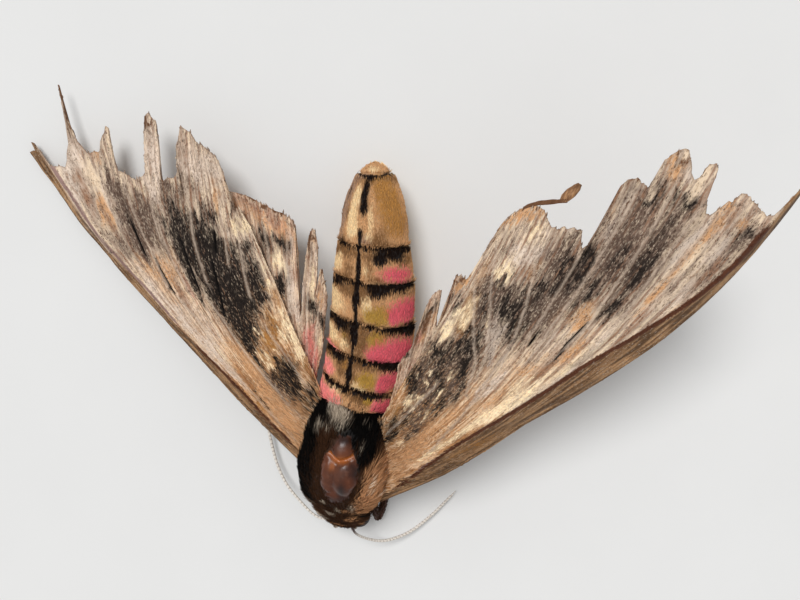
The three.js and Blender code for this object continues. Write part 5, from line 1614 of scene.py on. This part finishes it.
def make_legs(cuticle, hair):
    streaked = limb_marks(lambda a, b: 0.15 * (np.sin(a * 6) > 0.4))
    for number, (name, joints) in enumerate(LEGS.items()):
        lines = leg_lines(joints)
        done(rods(f"jointed_{name}", lines, 2), cuticle, "leg",
             *(f"{name}_{part}" for part in ("femur", "tibia", "tarsus")))
        for part, line, count, long in (("thigh", lines[0], 700, 0.4), ("shin", lines[1], 500, 0.3)):
            coat = grow(f"{name}_{part}_fur", rod_cover(line, streaked), count, 300 + number, long, 0.1,
                        rise=16, rows=2)
            done(coat, hair, "leg")


# ---- Wings ----

MEMBRANE = 0.16                  # thickness of a wing between its veins
ROOT_INSIDE = -0.03              # t where the rays start, inside the thorax


def wing_natural(wing):
    def natural(s, b):
        t = mix(ROOT_INSIDE, reach(wing, s), b)
        return fanned(wing, s, t), t

    return natural


def ray_chart(wing, u, t):
    """Millimetres along and across the fibres, for streaks that follow them."""
    return np.stack([50 * t, 22 * fibre(wing, u, t)], -1)


def thicken(piece, thickness):
    wall = piece.modifiers.new("thickness", "SOLIDIFY")
    wall.thickness, wall.offset = thickness * MM, 0
    carve(piece, wall)


def make_wing(name, wing, material, columns, rows):
    knots = [s for s, _ in wing["reach"]]
    across = np.unique(np.round(np.concatenate([np.linspace(0, 1, columns), knots]), 4))
    piece, (u, t) = shaped_grid(f"membrane_{name}", across, np.linspace(0, 1, rows),
                                lambda u, t: wing_point(wing, u, t), wing_natural(wing))
    tag(piece, wing_marks(wing, u, t))
    chart(piece, "Rays", ray_chart(wing, u, t))
    thicken(piece, MEMBRANE)
    return done(piece, material, name.split("_")[0], name)


def make_veins(name, wing, material):
    lines, places = [], []
    for thick, line in wing["veins"]:
        t = np.linspace(line[0][1], line[-1][1], 40)
        us, ts = np.array(line).T
        u = np.interp(t, ts, us)
        keep = t < reach(wing, fibre(wing, u, t)) - 0.004
        if keep.sum() < 4:
            continue
        u, t = u[keep], t[keep]
        radius = thick / 2 * (1.25 - 0.5 * t)
        lines.append(np.column_stack([wing_point(wing, u, t, -0.2 * thick), radius]))
        places.append(np.stack([u, t], -1))
    piece = rods(f"veins_{name}", lines, 1)
    places = np.vstack(places)
    around = len(piece.data.vertices) // len(places)
    u, t = np.repeat(places, around, axis=0).T
    tag(piece, wing_marks(wing, u, t, vein=0.3))
    chart(piece, "Rays", ray_chart(wing, u, t))
    return done(piece, material, name.split("_")[0])


def wing_cover(wing, upper):
    up = wing_up(wing) * (1 if upper else -1)
    lift = 0.5 * MEMBRANE * (1 if upper else -1)
    return Cover(wing_natural(wing), lambda u, t: wing_point(wing, u, t, lift),
                 lambda u, t: wing_marks(wing, u, t, under=0.0 if upper else 1.0),
                 lambda here, u, t: up)


def make_scales(name, wing, material, count, seed):
    """Scales on both faces of a wing, lying along its rays, and hair at its root."""
    slot = name.split("_")[0]
    rays = lambda u, t: ray_chart(wing, u, t)
    worn = lambda u, t: 0.5 + 0.5 * step(0.75, 0.3, t)
    outside = lambda u, t: step(0.04, 0.14, t) * step(0.003, 0.01, reach(wing, fibre(wing, u, t)) - t)
    flat = dict(curl=0.6, swirl=9, rows=2, sink=0.03, profile=(0.85, 1.0), extra=rays)
    top = grow(f"scales_{name}", wing_cover(wing, True), count, seed,
               lambda u, t: 0.34 + 0.22 * step(0.5, 0.1, t), 0.13, rise=7,
               density=lambda u, t: worn(u, t) * outside(u, t), **flat)
    done(top, material, slot)
    under = grow(f"underscales_{name}", wing_cover(wing, False), count // 4, seed + 1, 0.55, 0.24, rise=6,
                 density=outside, **flat)
    done(under, material, slot)
    root = grow(f"root_hair_{name}", wing_cover(wing, True), count // 8, seed + 2,
                lambda u, t: 1.2 - 2.5 * t, 0.12, rise=14, swirl=16, rows=3,
                density=lambda u, t: step(0.26, 0.06, t) * step(0.02, 0.1, u), extra=rays)
    done(root, material, slot)


def make_slivers(wing, material):
    """The torn strip of margin that still hangs on by its end."""
    for name, line in SLIVERS.items():
        def place(a, b):
            u, t, half_u, half_t = (np.interp(a, np.linspace(0, 1, len(line)), values)
                                    for values in zip(*line))
            return u + half_u * b, t + half_t * b

        piece, (u, t) = shaped_grid(name, np.linspace(0, 1, 41), np.linspace(-1, 1, 7),
                                    lambda u, t: wing_point(wing, u, t), place)
        marks = {colour: 0 * u for colour in WING_COLOURS}
        tag(piece, dict(marks, brown=0 * u + (0.9 if name == "sliver_band" else 0.45), tan=0 * u + 0.8))
        chart(piece, "Rays", ray_chart(wing, u, t))
        thicken(piece, 1.5 * MEMBRANE)
        done(piece, material, "forewing")


# The wings' own colour near the root and far out.
GROUNDS = {"forewing": ((218, 162, 108), (194, 171, 152)), "hindwing": ((196, 150, 112), (200, 168, 146))}
# Across and along a membrane, how many points; and how many scales lie on its upper face.
FINENESS = {"forewing": (180, 130, 17500), "hindwing": (105, 80, 7000)}


def make_wings():
    membranes = {kind: wing_paint(f"{kind} membrane", *ground, False) for kind, ground in GROUNDS.items()}
    scales = {kind: wing_paint(f"{kind} scales", *ground, True) for kind, ground in GROUNDS.items()}
    make_slivers(WINGS["forewing_left"], membranes["forewing"])
    for number, (name, wing) in enumerate(WINGS.items()):
        kind = name.split("_")[0]
        columns, rows, count = FINENESS[kind]
        make_wing(name, wing, membranes[kind], columns, rows)
        make_veins(name, wing, membranes[kind])
        make_scales(name, wing, scales[kind], count, 200 + 10 * number)


# ---- Floor, light and camera ----


CAMERA_PLACE, CAMERA_TILT = (4.2, 30.1, 106), -11     # high over the tail, tipped toward the head
SKY_LIGHT, SUN_LIGHT, SUN_SOFTNESS = 0.48, 1.95, 22


def make_stage():
    bpy.ops.object.select_all(action="DESELECT")
    bpy.ops.mesh.primitive_plane_add(size=3)
    floor = bpy.context.object
    floor.name = "floor"
    floor.data.materials.append(floor_paint())
    world = bpy.data.worlds.new("soft sky")
    bpy.context.scene.world = world
    world.use_nodes = True
    world.node_tree.nodes["Background"].inputs["Color"].default_value = (1, 1, 1, 1)
    world.node_tree.nodes["Background"].inputs["Strength"].default_value = SKY_LIGHT
    bpy.ops.object.light_add(type="SUN", rotation=(math.radians(-28), math.radians(-14), 0))
    sun = bpy.context.object.data
    sun.energy, sun.angle = SUN_LIGHT, math.radians(SUN_SOFTNESS)
    bpy.ops.object.camera_add(location=packed(CAMERA_PLACE), rotation=(math.radians(CAMERA_TILT), 0, 0))
    camera = bpy.context.object
    camera.data.lens, camera.data.sensor_width = 40, 36
    camera.data.clip_start = 0.005
    bpy.context.scene.camera = camera
    bpy.context.scene.view_settings.view_transform = "Standard"


def make_moth():
    hair = hair_paint()
    brown = cuticle_paint("leg cuticle", (46, 24, 18), (92, 50, 34), 0.35)
    make_skin(skin_paint())
    make_body_coat(hair)
    make_eyes(eye_paint())
    make_antennae(feeler_paint())
    make_tongue(cuticle_paint("tongue cuticle", (70, 40, 24), (128, 80, 46), 0.35))
    make_legs(brown, hair)
    make_wings()


make_moth()
make_stage()
